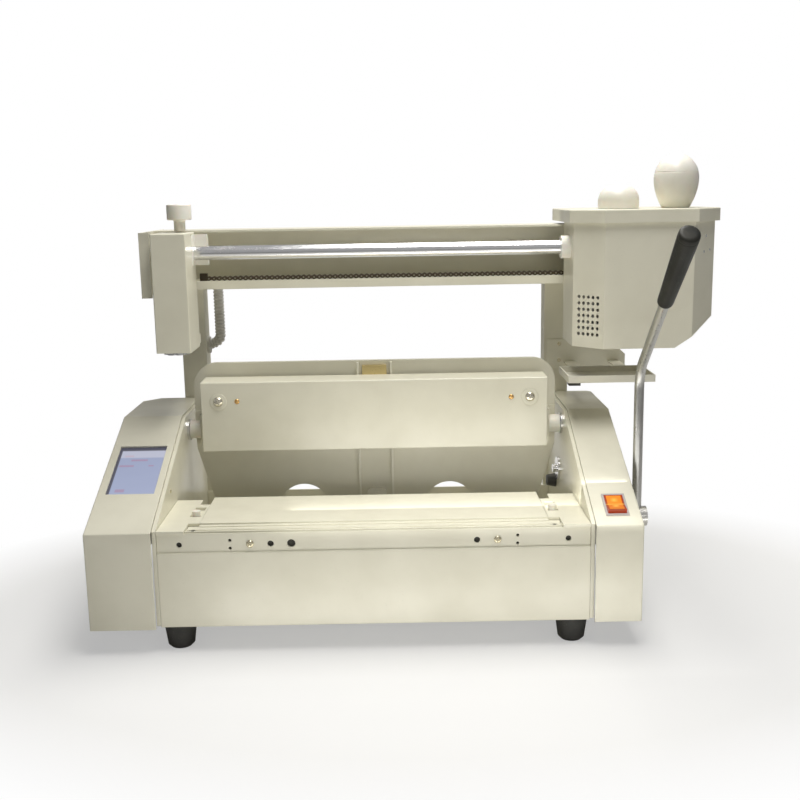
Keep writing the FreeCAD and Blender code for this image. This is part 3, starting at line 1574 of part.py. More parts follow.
def vent_holes():
    """Five by seven round holes in the left chamfer."""
    half_root = math.sqrt(0.5)
    across = Vector(half_root, -half_root, 0)
    outward = Vector(-half_root, -half_root, 0)
    reach = value("overrun")
    centre = Vector(
        value("glue_left + glue_chamfer / 2"), value("glue_front_y + glue_chamfer / 2"), 0
    )
    pitch_across, pitch_up = value("vent_pitch_across"), value("vent_pitch_up")
    columns, rows = int(value("vent_columns")), int(value("vent_rows"))
    tools = []
    for column in range(columns):
        for row in range(rows):
            place = centre + across * (pitch_across * (column - (columns - 1) / 2))
            place.z = value("vent_first_z") + row * pitch_up
            tools.append(Part.makeCylinder(
                value("vent_radius"), 2 * reach, place - outward * reach, outward))
    return drawn("vents", Part.makeCompound(tools))


def glue_lid():
    """Cover of the carriage: a rimmed plate that reaches back over the beam."""
    outer = profile(
        "lid_solid", "XY", glue_plan("lid_rim", "lid_rear_y"), ("glue_high_z", "lid_high_z"),
        "cover_bend - gap",
        lambda edge: along(edge, AXIS_Z) or reaches(edge, AXIS_Z, value("lid_high_z")),
    )
    hollow = profile(
        "lid_hollow", "XY", glue_plan("lid_rim - thin_sheet", "lid_rear_y - thin_sheet"),
        ("glue_high_z - overrun", "lid_high_z - sheet"),
    )
    plate = profile(
        "lid_seat", "XY", glue_plan("lid_rim - thin_sheet / 2", "glue_rear_y"),
        ("glue_high_z", "glue_high_z + thin_sheet"),
    )
    neck_way = disc("lid_neck_way", "Z", "neck_radius + gap",
                    ("glue_high_z - overrun", "lid_high_z + overrun"), ("dome_x", "dome_y"))
    glides = [
        block(
            f"glide_{i}", (f"{x} - glide_length / 2", f"{x} + glide_length / 2"),
            ("beam_front_y + 2 * overrun", "post_y - overrun"),
            ("glue_high_z - glide_height", "lid_high_z - sheet"),
        )
        for i, x in enumerate(("glue_left + glide_length", "glue_right - glide_length"))
    ]
    top = joined("lid_sheet", cut("lid_shell", outer, hollow), plate, *glides)
    subpart("glue_lid", cut("lid_with_filler", top, neck_way))


def filler_cap():
    """Lift-off dome cap that closes the filler hole."""
    radius, height = value("dome_radius"), value("dome_height")
    base = Vector(value("dome_x"), value("dome_y"), value("lid_high_z + gap"))
    dome = Part.makeCylinder(radius, height, base)
    rim = [
        edge for edge in dome.Edges
        if isinstance(edge.Curve, Part.Circle) and edge.CenterOfMass.z > base.z + height / 2
    ]
    dome = dome.makeFillet(value("dome_round"), rim)
    drop = value("neck_drop")
    neck = Part.makeCylinder(value("neck_radius"), drop, base - Vector(0, 0, drop))
    subpart("filler_cap", drawn("dome", dome.fuse(neck).removeSplitter()))


def egg_handle():
    """Egg-shaped push handle: an arc up to the belly, half an ellipse above it."""
    base = Vector(value("egg_x"), value("egg_y"), value("lid_high_z"))
    foot, wide = value("egg_base_radius"), value("egg_radius")
    belly = value("egg_height * egg_belly_share")
    low = base + Vector(foot, 0, 0)
    side = base + Vector((foot + wide) / 2 + foot / 6, 0, belly / 3)
    widest = base + Vector(wide, 0, belly)
    top = base + Vector(0, 0, value("egg_height"))
    crown = Part.Ellipse(top, widest, base + Vector(0, 0, belly))
    ends = sorted(crown.parameter(point) for point in (widest, top))
    face = Part.Face(Part.Wire([
        Part.LineSegment(base, low).toShape(),
        Part.Arc(low, side, widest).toShape(),
        crown.toShape(*ends),
        Part.LineSegment(top, base).toShape(),
    ]))
    subpart("egg_handle", drawn("egg", face.revolve(base, AXIS_Z, 360)))


def glue_drive():
    """Sprocket on the chain, its belt, the glue roller, the pot and the bushes."""
    radius = value("rolling_radius")
    centre = Vector(value("roller_x"), value("chain_y"), value("sprocket_z"))
    half = value("sprocket_sheet / 2")
    wheel = Part.makeCylinder(
        radius + value("sprocket_tip"), 2 * half, centre - Vector(0, half, 0), AXIS_Y
    )
    teeth = int(value("sprocket_teeth"))
    room = value("roller_radius + tooth_gap")
    offset = value("roller_x + chain_left") / value("chain_pitch")
    phase = (offset - math.floor(offset)) * 2 * math.pi / teeth
    slots = []
    for i in range(teeth):
        angle = i * 2 * math.pi / teeth + phase
        out = Vector(-math.sin(angle), 0, -math.cos(angle))
        side = Vector(math.cos(angle), 0, -math.sin(angle))
        seat = centre + out * radius
        round_end = Part.makeCylinder(room, 4 * half, seat - Vector(0, 2 * half, 0), AXIS_Y)
        corners = [seat - side * room, seat + side * room,
                   seat + side * room + out * (3 * room), seat - side * room + out * (3 * room)]
        corners = [corner - Vector(0, 2 * half, 0) for corner in corners]
        way = Part.Face(Part.makePolygon(corners + corners[:1])).extrude(Vector(0, 4 * half, 0))
        slots.append(round_end.fuse(way))
    wheel = wheel.cut(slots)
    pulley_y = ("pulley_front_y", "pulley_front_y + pulley_width")
    place = ("roller_x", "sprocket_z")
    shaft = disc("sprocket_shaft", "Y", "roller_shaft_radius",
                 (pulley_y[0], "chain_y + sprocket_sheet / 2"), place)
    pulley = disc("upper_pulley", "Y", "pulley_radius", pulley_y, place)
    subpart("drive_sprocket", joined("sprocket", drawn("toothed_wheel", wheel), shaft, pulley))

    lower = ("roller_x", "roller_z")
    barrel = disc("roller_barrel", "Y", "glue_roller_radius",
                  ("roller_front_y", "roller_rear_y"), lower)
    axle = disc("roller_axle", "Y", "roller_shaft_radius",
                ("roller_front_y - pot_wall", pulley_y[1]), lower)
    lower_pulley = disc("lower_pulley", "Y", "pulley_radius", pulley_y, lower)
    subpart("glue_roller", joined("roller", barrel, axle, lower_pulley))

    inner = "(pulley_radius + running_gap)"
    outer = f"({inner} + belt_sheet)"
    rings = []
    for word, reach in (("outer", outer), ("inner", inner)):
        top_round = disc(f"belt_{word}_top", "Y", reach, pulley_y, place)
        low_round = disc(f"belt_{word}_low", "Y", reach, pulley_y, lower)
        run = block(f"belt_{word}_run", (f"roller_x - {reach}", f"roller_x + {reach}"),
                    pulley_y, ("roller_z", "sprocket_z"))
        rings.append(joined(f"belt_{word}", top_round, low_round, run))
    subpart("drive_belt", cut("belt", *rings))

    pot = block("pot_block", ("pot_left + gap", "pot_right - gap"),
                ("roller_front_y - pot_wall", "roller_rear_y + pot_wall"),
                ("glue_floor_z", "pot_high_z"))
    well = block("pot_well", ("pot_left + gap + pot_wall", "pot_right - gap - pot_wall"),
                 ("roller_front_y - gap", "roller_rear_y + gap"),
                 ("pot_floor_z", "pot_high_z + overrun"))
    trough = disc("pot_trough", "Y", "glue_roller_radius + gap",
                  ("roller_front_y - gap", "roller_rear_y + gap"), lower)
    journal = disc("pot_journal", "Y", "roller_shaft_radius + running_gap",
                   ("roller_front_y - pot_wall - overrun", "roller_rear_y + pot_wall + overrun"),
                   lower)
    subpart("glue_pot", cut("pot", pot, well, trough, journal))

    bushes = []
    for i, start in enumerate(("bush_left", "glue_right - thin_sheet - bush_length")):
        span = (start, f"{start} + bush_length")
        tube = disc(f"bush_tube_{i}", "X", "bush_radius", span, ("rod_y", "rod_z"))
        hole = disc(f"bush_hole_{i}", "X", "guide_rod_radius + running_gap",
                    (f"{start} - overrun", f"{start} + bush_length + overrun"),
                    ("rod_y", "rod_z"))
        bushes.append(cut(f"bush_{i}", tube, hole))
    subpart("carriage_bushes", group("two_bushes", *bushes))


def glue_tray():
    """Drip tray below the parked carriage, its bracket and its rubber buffer."""
    outer = block("tray_outer", ("tray_left", "tray_right"), ("tray_front_y", "tray_rear_y"),
                  ("tray_low_z", "tray_high_z"))
    inner = block(
        "tray_inner", ("tray_left + tray_sheet", "tray_right - tray_sheet"),
        ("tray_front_y + tray_sheet", "tray_rear_y - tray_sheet"),
        ("tray_low_z + tray_sheet", "tray_high_z + overrun"),
    )
    subpart("glue_tray", cut("tray", outer, inner))
    plate_y = ("post_y - sheet", "post_y")
    plate = profile(
        "bracket_plate", "XZ",
        [("post_near + post_sheet", "plate_low_z"), ("plate_right", "plate_low_z"),
         ("plate_right", "tray_high_z"), ("arm_right", "plate_high_z"),
         ("post_near + post_sheet", "plate_high_z")],
        plate_y,
    )
    arms = [
        block(f"tray_arm_{i}", (x, f"{x} + arm_width"), ("tray_front_y + arm_width", plate_y[0]),
              ("tray_low_z - sheet", "tray_low_z"))
        for i, x in enumerate(("arm_left", "arm_right"))
    ]
    subpart("tray_bracket", joined("bracket", plate, *arms))
    under = block(
        "tray_buffer", ("buffer_x - buffer_half", "buffer_x + buffer_half"),
        ("buffer_y - buffer_half", "buffer_y + buffer_half"),
        ("tray_low_z - buffer_height", "tray_low_z"),
    )
    corner = disc(
        "corner_buffer", "X", "corner_buffer_radius - sheet",
        ("frame_half - corner_buffer_length", "frame_half"),
        ("corner_buffer_y", "corner_buffer_z"), "corner_buffer_radius",
    )
    subpart("rubber_buffers", group("two_buffers", under, corner))


def bright_parts():
    """Plated rings at the pivots and the stop disc with its bolt."""
    rings = []
    for i, side in enumerate((-1, 1)):
        span = ("frame_half - ring_length", "frame_half")
        if side < 0:
            span = ("-frame_half", "-frame_half + ring_length")
        ring = disc(f"ring_blank_{i}", "X", "ring_radius", span, ("pivot_y", "pivot_z"))
        hole = disc(f"ring_hole_{i}", "X", "pivot_radius + running_gap",
                    (f"{span[0]} - overrun", f"{span[1]} + overrun"), ("pivot_y", "pivot_z"))
        rings.append(cut(f"pivot_ring_{i}", ring, hole))
    face = disc("stop_disc", "X", "stop_radius", ("frame_half - ring_length", "frame_half"),
                ("stop_y", "stop_z"))
    bolt = disc("stop_bolt", "X", "stop_bolt_radius",
                ("frame_half - ring_length - stop_bolt_reach / 2", "frame_half - ring_length"),
                ("stop_y", "stop_z"))
    subpart("wall_rings", group("rings_and_stop", *rings, joined("stop", face, bolt)))


def pan_head(name, axis, seat, centre, outward, radius):
    """A screw head on its seat, its edge drawn in by a gap at the top."""
    height = "screw_head / 1.6"
    if outward > 0:
        return disc(name, axis, radius, (seat, f"{seat} + {height}"), centre, f"{radius} - gap")
    return disc(name, axis, f"{radius} - gap", (f"{seat} - {height}", seat), centre, radius)


def machine_screws():
    """Screws on the frame, seated on what they hold."""
    heads = []
    for side in (-1, 1):
        heads.append(pan_head(
            f"band_screw_{side + 1}", "Y", "front_y + band_recess",
            (f"{side} * band_screw_x", "band_hole_z"), -1, "band_screw_radius"))
    for z in ("post_screw_low", "post_screw_high"):
        heads.append(pan_head(
            f"{z}_head", "Y", "post_y - sheet", ("post_screw_x", z), -1, "post_screw_radius"))
    heads.append(pan_head(
        "wall_screw", "X", "-frame_half", ("wall_screw_y", "wall_screw_z"), 1,
        "wall_screw_radius"))
    for side, seat in ((-1, "-beam_left"), (1, "beam_right")):
        heads.append(pan_head(
            f"rod_bolt_{side + 1}", "X", seat, ("rod_y", "rod_z"), side,
            "guide_rod_radius - thin_sheet"))
    subpart("frame_screws", group("all_frame_screws", *heads))


def conduit_path():
    """From the seat in the elbow, down, and into the seat in the left post's gland."""
    x, y, end_z = -value("conduit_x"), value("conduit_y"), value("conduit_end_z")
    top = value("conduit_top_z - elbow_drop / 2")
    seat = -value("post_near + 2 * conduit_crest_radius - gland_flange")
    points = [Vector(x, y, top), Vector(x, y, end_z), Vector(seat, y, end_z)]
    return bent_path(points, [value("conduit_bend")])


def conduit():
    """Ribbed cable conduit from an elbow behind the beam into a gland in the left post."""
    path = conduit_path()
    crest, root = value("conduit_crest_radius"), value("conduit_root_radius")
    ribs = round(path.Length / value("rib_pitch"))
    pitch = path.Length / ribs
    rib_shares = ((0.0, root), (0.3, root), (0.42, crest), (0.88, crest))
    wires = [
        ring(path, (i + share) * pitch, radius) for i in range(ribs) for share, radius in rib_shares
    ]
    wires.append(ring(path, path.Length, root))
    hose = Part.makeLoft(wires, True, True).cut(swept(path, value("conduit_bore_radius")))
    print("conduit: length", round(path.Length, 1), "ribs", ribs, "bend", value("conduit_bend"))
    subpart("conduit", drawn("ribbed_hose", hose))


def ring(path, distance, radius):
    """A circle round the path at a distance along it, starting on a steady side."""
    for edge in path.Edges:
        if distance <= edge.Length or edge is path.Edges[-1]:
            break
        distance -= edge.Length
    parameter = edge.getParameterByLength(min(distance, edge.Length))
    circle = Part.Circle(edge.valueAt(parameter), edge.tangentAt(parameter), radius)
    circle.XAxis = AXIS_Y
    return Part.Wire(circle.toShape())


def conduit_glands():
    """Elbow on the beam's rear and straight gland in the post, each with the hose's seat."""
    bore, seat = "(conduit_crest_radius + running_gap)", "(conduit_crest_radius + gland_wall)"
    upright = ("-conduit_x", "conduit_y")
    top, low = "conduit_top_z + gland_radius", "conduit_top_z - elbow_drop"
    drop = disc("elbow_drop_pipe", "Z", seat, (low, top), upright)
    stub = disc("elbow_stub", "Y", seat, ("post_y", "conduit_y"), ("-conduit_x", "conduit_top_z"))
    collar = disc("elbow_collar", "Z", "gland_radius + gland_wall",
                  (low, f"{low} + gland_flange"), upright)
    socket = disc("elbow_socket", "Z", bore, (f"{low} - overrun", "conduit_top_z - elbow_drop / 2"),
                  upright)
    way_down = disc("elbow_way_down", "Z", "conduit_bore_radius", (low, "conduit_top_z"), upright)
    elbow = cut("elbow", joined("elbow_solid", drop, stub, collar), socket, way_down)

    across = ("conduit_y", "conduit_end_z")
    inner_end = "(-post_near - 2 * conduit_crest_radius)"
    barrel = disc("gland_barrel", "X", f"{seat} - running_gap", (inner_end, "-post_near"), across)
    flange = disc("gland_flange_disc", "X", "gland_radius + gland_wall",
                  ("-post_near", "-post_near + gland_flange"), across)
    hole = disc("gland_hole", "X", bore,
                ("-post_near - 2 * conduit_crest_radius + gland_flange", "-post_near + 2 * overrun"),
                across)
    way = disc("gland_way", "X", "conduit_bore_radius", (f"{inner_end} - overrun", "-post_near"),
               across)
    gland = cut("gland", joined("gland_solid", barrel, flange), hole, way)
    subpart("conduit_glands", group("two_glands", elbow, gland))


def build():
    base_pan()
    power_inlet()
    side_plate("left_side_plate", -1)
    side_plate("right_side_plate", 1)
    front_panels()
    left_cover()
    display()
    right_cover()
    mains_switch()
    feet()
    table()
    nip()
    lever()
    clamp_board()
    clamp_jaw()
    post("left_post", -1, gland_bore("post_gland_hole"))
    post("right_post", 1)
    beam()
    drive_chain()
    milling_head()
    glue_shell()
    glue_lid()
    filler_cap()
    egg_handle()
    glue_drive()
    glue_tray()
    bright_parts()
    machine_screws()
    conduit()
    conduit_glands()


def move_origin():
    """Put the origin under the middle of the whole machine, and move the sub-parts."""
    whole = FreeCAD.BoundBox()
    for thing in nodes.values():
        whole.add(thing.Shape.BoundBox)
    shift = {"x": (whole.XMin + whole.XMax) / 2, "y": (whole.YMin + whole.YMax) / 2}
    for axis, number in shift.items():
        sheet.set(sheet.getCellFromAlias(f"origin_{axis}"), f"{number:.4f}")
    for thing in nodes.values():
        for axis, text in zip("xy", thing.PlaceFormulas):
            thing.setExpression(
                "Placement.Base." + axis, formula(f"{text} - origin_{axis}")
            )
    print("origin moved by", round(shift["x"], 4), round(shift["y"], 4))
    print("size", round(whole.XLength, 1), round(whole.YLength, 1), round(whole.ZLength, 1))


def check(things):
    for thing in things:
        if "Invalid" in thing.State or "Error" in thing.State:
            raise RuntimeError(f"{thing.Name} failed: {thing.State}")


def write_steps():
    os.makedirs("parts", exist_ok=True)
    for label, thing in nodes.items():
        shape = thing.Shape
        if shape.isNull() or not shape.isValid() or not shape.Solids:
            raise RuntimeError(f"{label} has no valid solid")
    for label, thing in nodes.items():
        thing.Shape.exportStep(f"parts/{label}.step")
    print("sub-parts", len(nodes), "solids", sum(len(t.Shape.Solids) for t in nodes.values()))


build()
document.recompute()
check(document.Objects)
move_origin()
document.recompute()
check(document.Objects)
write_steps()
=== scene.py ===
"""Finishes, fine pieces and photo studio for a table-top thermal binding machine."""

import json
import math
from functools import cache

import bmesh
import bpy
from bpy.props import FloatProperty, FloatVectorProperty, IntProperty, PointerProperty
from bpy.types import Operator, Panel, PropertyGroup
from mathutils import Matrix, Vector


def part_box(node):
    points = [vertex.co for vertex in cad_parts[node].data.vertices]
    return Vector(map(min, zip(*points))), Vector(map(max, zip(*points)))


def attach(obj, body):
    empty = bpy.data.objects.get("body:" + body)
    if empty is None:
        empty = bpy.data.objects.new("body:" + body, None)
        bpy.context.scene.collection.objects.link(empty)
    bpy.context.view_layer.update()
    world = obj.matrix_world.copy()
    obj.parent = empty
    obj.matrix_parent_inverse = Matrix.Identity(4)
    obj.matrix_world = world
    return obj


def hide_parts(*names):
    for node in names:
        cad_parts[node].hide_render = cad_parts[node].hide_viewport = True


bl_info = {
    "name": "Thermal binding machine",
    "version": (1, 0, 0),
    "blender": (4, 5, 0),
    "location": "3D View > Sidebar > Binder",
    "description": "Dresses the binding machine's solids with finishes and fine pieces",
    "category": "Add Mesh",
}

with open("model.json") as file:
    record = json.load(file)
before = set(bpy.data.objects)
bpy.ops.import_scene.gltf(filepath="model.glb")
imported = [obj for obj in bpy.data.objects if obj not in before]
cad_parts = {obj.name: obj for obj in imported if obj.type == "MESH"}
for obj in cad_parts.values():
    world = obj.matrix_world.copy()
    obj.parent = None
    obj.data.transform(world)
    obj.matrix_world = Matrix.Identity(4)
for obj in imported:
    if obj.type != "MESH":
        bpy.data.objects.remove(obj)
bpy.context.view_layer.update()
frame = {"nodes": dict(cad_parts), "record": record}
NODES = frame["nodes"]
BODY_OF = {
    node: body
    for body, members in frame["record"]["behaviour"]["bodies"].items()
    for node in members
}
SLOT_OF = {part["node"]: part["material_slot"] for part in frame["record"]["subparts"]}

Y_AXIS = Vector((0, 1, 0))
# Places that are nearer than this, in metres, are the same.
TOUCH = 1e-6
# The machine's own drawing frame lies this far from the part's frame.
DRAWING_SHIFT = Vector((-0.050, -0.123158, 0.0))

# Places and sizes in the drawing frame's millimetres: both ends of the grip's axis, the front
# band's holes as x, z and radius, and the seats of the screws on the glue housing's chamfer.
GRIP_LOW = (289.5, 1.0, 356.0)
GRIP_TOP = (289.5, -79.0, 427.0)
BAND_HOLES = (
    (-199.0, 117.0, 2.9), (199.0, 117.0, 2.9), (-147.0, 121.2, 1.6), (147.0, 121.2, 1.6),
    (-147.0, 112.8, 1.6), (147.0, 112.8, 1.6), (-105.5, 117.0, 3.2), (105.5, 117.0, 3.2),
    (-84.4, 117.0, 4.2),
)
CHAMFER_SCREWS = ((374.7, 161.2, 413.6), (372.2, 158.7, 396.2), (381.0, 167.5, 397.7))
# Bolt holes from below in the nip's bar, each with a dark sleeve that has a floor, as painted shade
# inside the hole.
BAR_HOLE_X = 185.5
BAR_HOLE_Y = 8.5
BAR_HOLE_LOW_Z = 120.0
BAR_HOLE_RADIUS = 2.8
SLEEVE_GAP = 0.04
SLEEVE_BORE = 2.2
SLEEVE_LOW = 0.05
SLEEVE_FLOOR = 1.5
SLEEVE_TALL = 9.2
# The grip's outline: shares of the radius at that end, and the distance from it.
GRIP_HEEL = ((0.9, 0.0), (1.0, 3.0))
GRIP_END = ((1.0, 7.5), (0.965, 6.8), (1.0, 6.0), (0.97, 1.2), (0.7, 0.0))
GRIP_ROUND = 1.8
# The flats leave these lengths free at the lower and upper end.
GRIP_PLAIN = (6.0, 8.0)
# The display: how far it lies in from the cover's left side, its right side, and its heights.
SCREEN_EDGE = 9.0
SCREEN_RIGHT = -233.5
SCREEN_Z = (154.0, 188.7)

# The conduit's route in metres, from the gland under the beam to the gland on the post.
HOSE_ROUTE = (
    (-0.2485, 0.193842, 0.378), (-0.2485, 0.193842, 0.3052),
    (-0.2485, 0.193842, 0.279), (-0.2747, 0.193842, 0.279),
)

# Where the grip swells most: shares of its upper radius and of its length.
GRIP_SWELL = (0.97, 0.80)
# Plain bars on the display, as shares of its width and height.
SCREEN_BARS = (
    (0.15, 0.32, 0.815, 0.835), (0.31, 0.64, 0.725, 0.75), (0.09, 0.38, 0.61, 0.635),
    (0.71, 0.80, 0.615, 0.63), (0.17, 0.34, 0.11, 0.155),
)
# Where the display's pale header starts, and where its dark rims end, as shares; the rims above and
# at the left are a painted shadow of the window's edge.
SCREEN_HEADER = (0.78, 0.80)
SCREEN_LEFT_SHADOW = (0.045, 0.065)
SCREEN_TOP_SHADOW = (0.945, 0.925)
# The display's light: its clouds' span and least share, its share at the top, and the shares
# of its bars and header, with the bars' soft borders.
SCREEN_CLOUD_SPAN = (0.3, 0.7)
SCREEN_CLOUD_LEAST = 0.90
SCREEN_TOP_SHARE = 0.55
SCREEN_BAR_SHARE = 0.45
SCREEN_BAR_SOFT = (0.02, 0.012)
SCREEN_HEADER_SHARE = 0.30
# The lit rocker, as shares of its width and height: from, to, and the soft border. Its ridge line
# and its two rows of spots are painted highlights.
ROCKER_SIDES = (0.13, 0.87, 0.07)
ROCKER_ENDS = (0.10, 0.90, 0.05)
ROCKER_RIDGE_HIGHLIGHT = (0.47, 0.50, 0.03)
ROCKER_HIGHLIGHT_SIDES = (0.47, 0.53, 0.20)
ROCKER_LOW_HIGHLIGHT = (0.33, 0.35, 0.10)
ROCKER_HIGH_HIGHLIGHT = (0.70, 0.72, 0.12)
ROCKER_STEP = (0.44, 0.53)
# The light of its lower half, and how much of the painted highlight's colour is in its ridge and
# spots.
ROCKER_LOWER = 0.72
ROCKER_RIDGE_HIGHLIGHT_SHARE = 0.75
ROCKER_HIGHLIGHT_SHARE = 0.85

# The most of a side that a rounded corner takes up.
ROUND_REACH = 0.45
# A screw head of radius 1: heights of its rim and crown, its shoulder and its rounding; and
# the recess, by the middle of the tool that cuts it and by how much longer than wide it is.
HEAD_RIM = 0.16
HEAD_SHOULDER = (0.72, 0.48)
HEAD_RISE = 0.62
HEAD_ROUND = 0.3
RECESS_MIDDLE = 0.75
RECESS_SLIMNESS = 4
# Turns of a row's screws, in radians: the first, each more than the last, and the same on
# the housing's chamfer.
FIRST_TURN = 0.4
NEXT_TURN = 0.9
CHAMFER_TURN = 0.5

# A link plate's lobe, of a half circle, and its thickness, of the sheet it has room for.
LOBE_SHARE = 0.72
PLATE_SHARE = 0.92
# How flat the crests of the conduit's ribs are; 1 is a plain wave.
CREST_FLATNESS = 1.5
# How full the egg is below its belly; 1 is a plain arc. Its seam's depth, of half its width,
# and how many times narrower the seam's floor is.
EGG_FULLNESS = 0.86
SEAM_DEPTH = 0.7
SEAM_FLOOR = 3
# The depth knob: its thin stem's height, and its dish's outer and inner radius, as shares.
KNOB_STEM = 0.55
KNOB_DISH = (0.62, 0.56)

# Noise: lumps to the metre, and where in its range each mask starts and is full.
CLOUDS_PER_METRE = 22.0
SPOTS_PER_METRE = 420.0
SCREEN_CLOUDS_PER_METRE = 38.0
MOTTLE_SPAN = (0.35, 0.65)
CLOUD_SPAN = (0.42, 0.72)
SPOT_SPAN = (0.66, 0.74)
# Dust on faces from nearly upright to level, its share on the lower ones, and that of spots.
UPWARD_SPAN = (-0.2, 1.0)
DUST_BELOW = 0.35
SPOT_SHARE = 0.9
# The cosine between the true and the rounded normal, away from an edge and on it.
EDGE_SPAN = (0.99, 0.86)
# How far roughness spreads below and above its middle, for metals as shares of it, and what
# full dust adds to it.
COAT_SPREAD = (0.04, 0.05)
PLASTIC_SPREAD = (0.04, 0.06)
METAL_SPREAD = (0.8, 1.25)
COAT_DUST = 1.2
METAL_DUST = 0.3
# What is left of each channel of a colour where metal is tarnished or plastic mottled.
TARNISHED = (0.55, 0.52, 0.48)
MOTTLED = (0.93, 0.92, 0.89)

# The camera's sensor, in millimetres.
SENSOR_WIDTH = 36.0
LAMP_COLOUR = (1.0, 0.985, 0.955)
# Lamps: name, its power setting, width and depth, place and target, in metres.
LAMPS = (
    ("Softbox", "key_power", (1.7, 0.5), (0.12, 0.11, 1.40), (0.10, 0.11, 0.2)),
    ("Front_fill", "fill_power", (1.6, 1.0), (0.55, -1.6, 0.75), (0.0, 0.0, 0.18)),
    ("Table_bounce", "bounce_power", (0.56, 0.08), (0.05, -0.215, 0.006), (0.05, -0.15, 0.2)),
    ("Well_card", "well_power", (0.36, 0.04), (0.04, -0.06, 0.145), (0.04, 0.08, 0.19)),
    ("Clamp_card", "card_power", (0.42, 0.04), (0.06, -0.150, 0.150), (0.06, 0.0, 0.28)),
)


def colour(name, description, default):
    """A colour setting."""
    return FloatVectorProperty(
        name=name, description=description, default=default, subtype="COLOR", size=3,
        min=0.0, max=1.0,
    )


def share(name, description, default):
    """A setting from 0 to 1."""
    return FloatProperty(
        name=name, description=description, default=default, min=0.0, max=1.0,
        subtype="FACTOR",
    )


def distance(name, description, default):
    """A length setting in metres."""
    return FloatProperty(
        name=name, description=description, default=default, precision=5, unit="LENGTH",
    )


def amount(name, description, default):
    """A plain amount, such as a lamp's watts."""
    return FloatProperty(name=name, description=description, default=default, min=0.0)


def rotation(name, description, default):
    """An angle setting in radians."""
    return FloatProperty(name=name, description=description, default=default, unit="ROTATION")


class BinderPaint(PropertyGroup):
    """Colours and textures of the painted sheet metal."""

    ivory: colour("Ivory", "Powder coat of the covers and panels", (0.80, 0.775, 0.640))
    shade: colour("Shade", "The coat where it is thinner", (0.74, 0.715, 0.580))
    tray: colour("Tray", "Coat of the glue tray", (0.68, 0.665, 0.58))
    # Painted highlight: a lighter coat colour along bends, for the light that they catch.
    edge: colour("Edge", "Coat along bends, where it catches the light", (0.90, 0.88, 0.76))
    dirt: colour("Dirt", "Dust and handling marks", (0.42, 0.38, 0.30))
    roughness: share("Roughness", "Roughness of the coat", 0.36)
    peel_size: distance("Peel size", "Width of one dimple of the orange peel", 0.0016)
    peel_height: distance("Peel height", "Height of the orange peel", 0.000022)
    mottle_size: distance("Mottle size", "Width of a patch where the coat is thinner", 0.09)
    edge_radius: distance("Edge radius", "How far the soft edge reaches", 0.0007)
    edge_highlight_share: share("Edge share", "How much of the edge colour shows", 0.45)
    dirt_share: share("Dirt share", "How much dust lies on the coat", 0.10)
    gloss: share("Gloss", "Weight of the clear gloss over the coat", 0.25)
    gloss_roughness: share("Gloss roughness", "Roughness of that gloss", 0.12)


class BinderMetal(PropertyGroup):
    """Colours of the bare metals."""

    chrome: colour("Chrome", "Plated rods", (0.76, 0.76, 0.77))
    steel: colour("Steel", "Bright screws and pins", (0.62, 0.61, 0.58))
    cast: colour("Cast", "Cast and machined aluminium", (0.56, 0.56, 0.56))
    satin: colour("Satin", "Rod of the lever", (0.43, 0.43, 0.415))
    brass: colour("Brass", "Brass screws and block", (0.66, 0.54, 0.27))
    oiled: colour("Oiled", "Oiled chain and cutter", (0.115, 0.095, 0.068))
    grime: colour("Grime", "Oil and dust in the chain's gaps", (0.035, 0.029, 0.021))
    pin: colour("Pin", "Worn pin ends of the chain", (0.33, 0.30, 0.225))
    zinc: colour("Zinc", "Yellow zinc plate of machine screws", (0.62, 0.57, 0.41))
    nickel: colour("Nickel", "Nickel plate of the jaw's screws", (0.74, 0.70, 0.58))
    copper: colour("Copper", "The jaw's second screws", (0.74, 0.47, 0.19))
    edge_radius: distance("Edge radius", "How far the soft edge reaches", 0.00025)
    dirt_share: share("Dirt share", "How tarnished the metals are", 0.35)


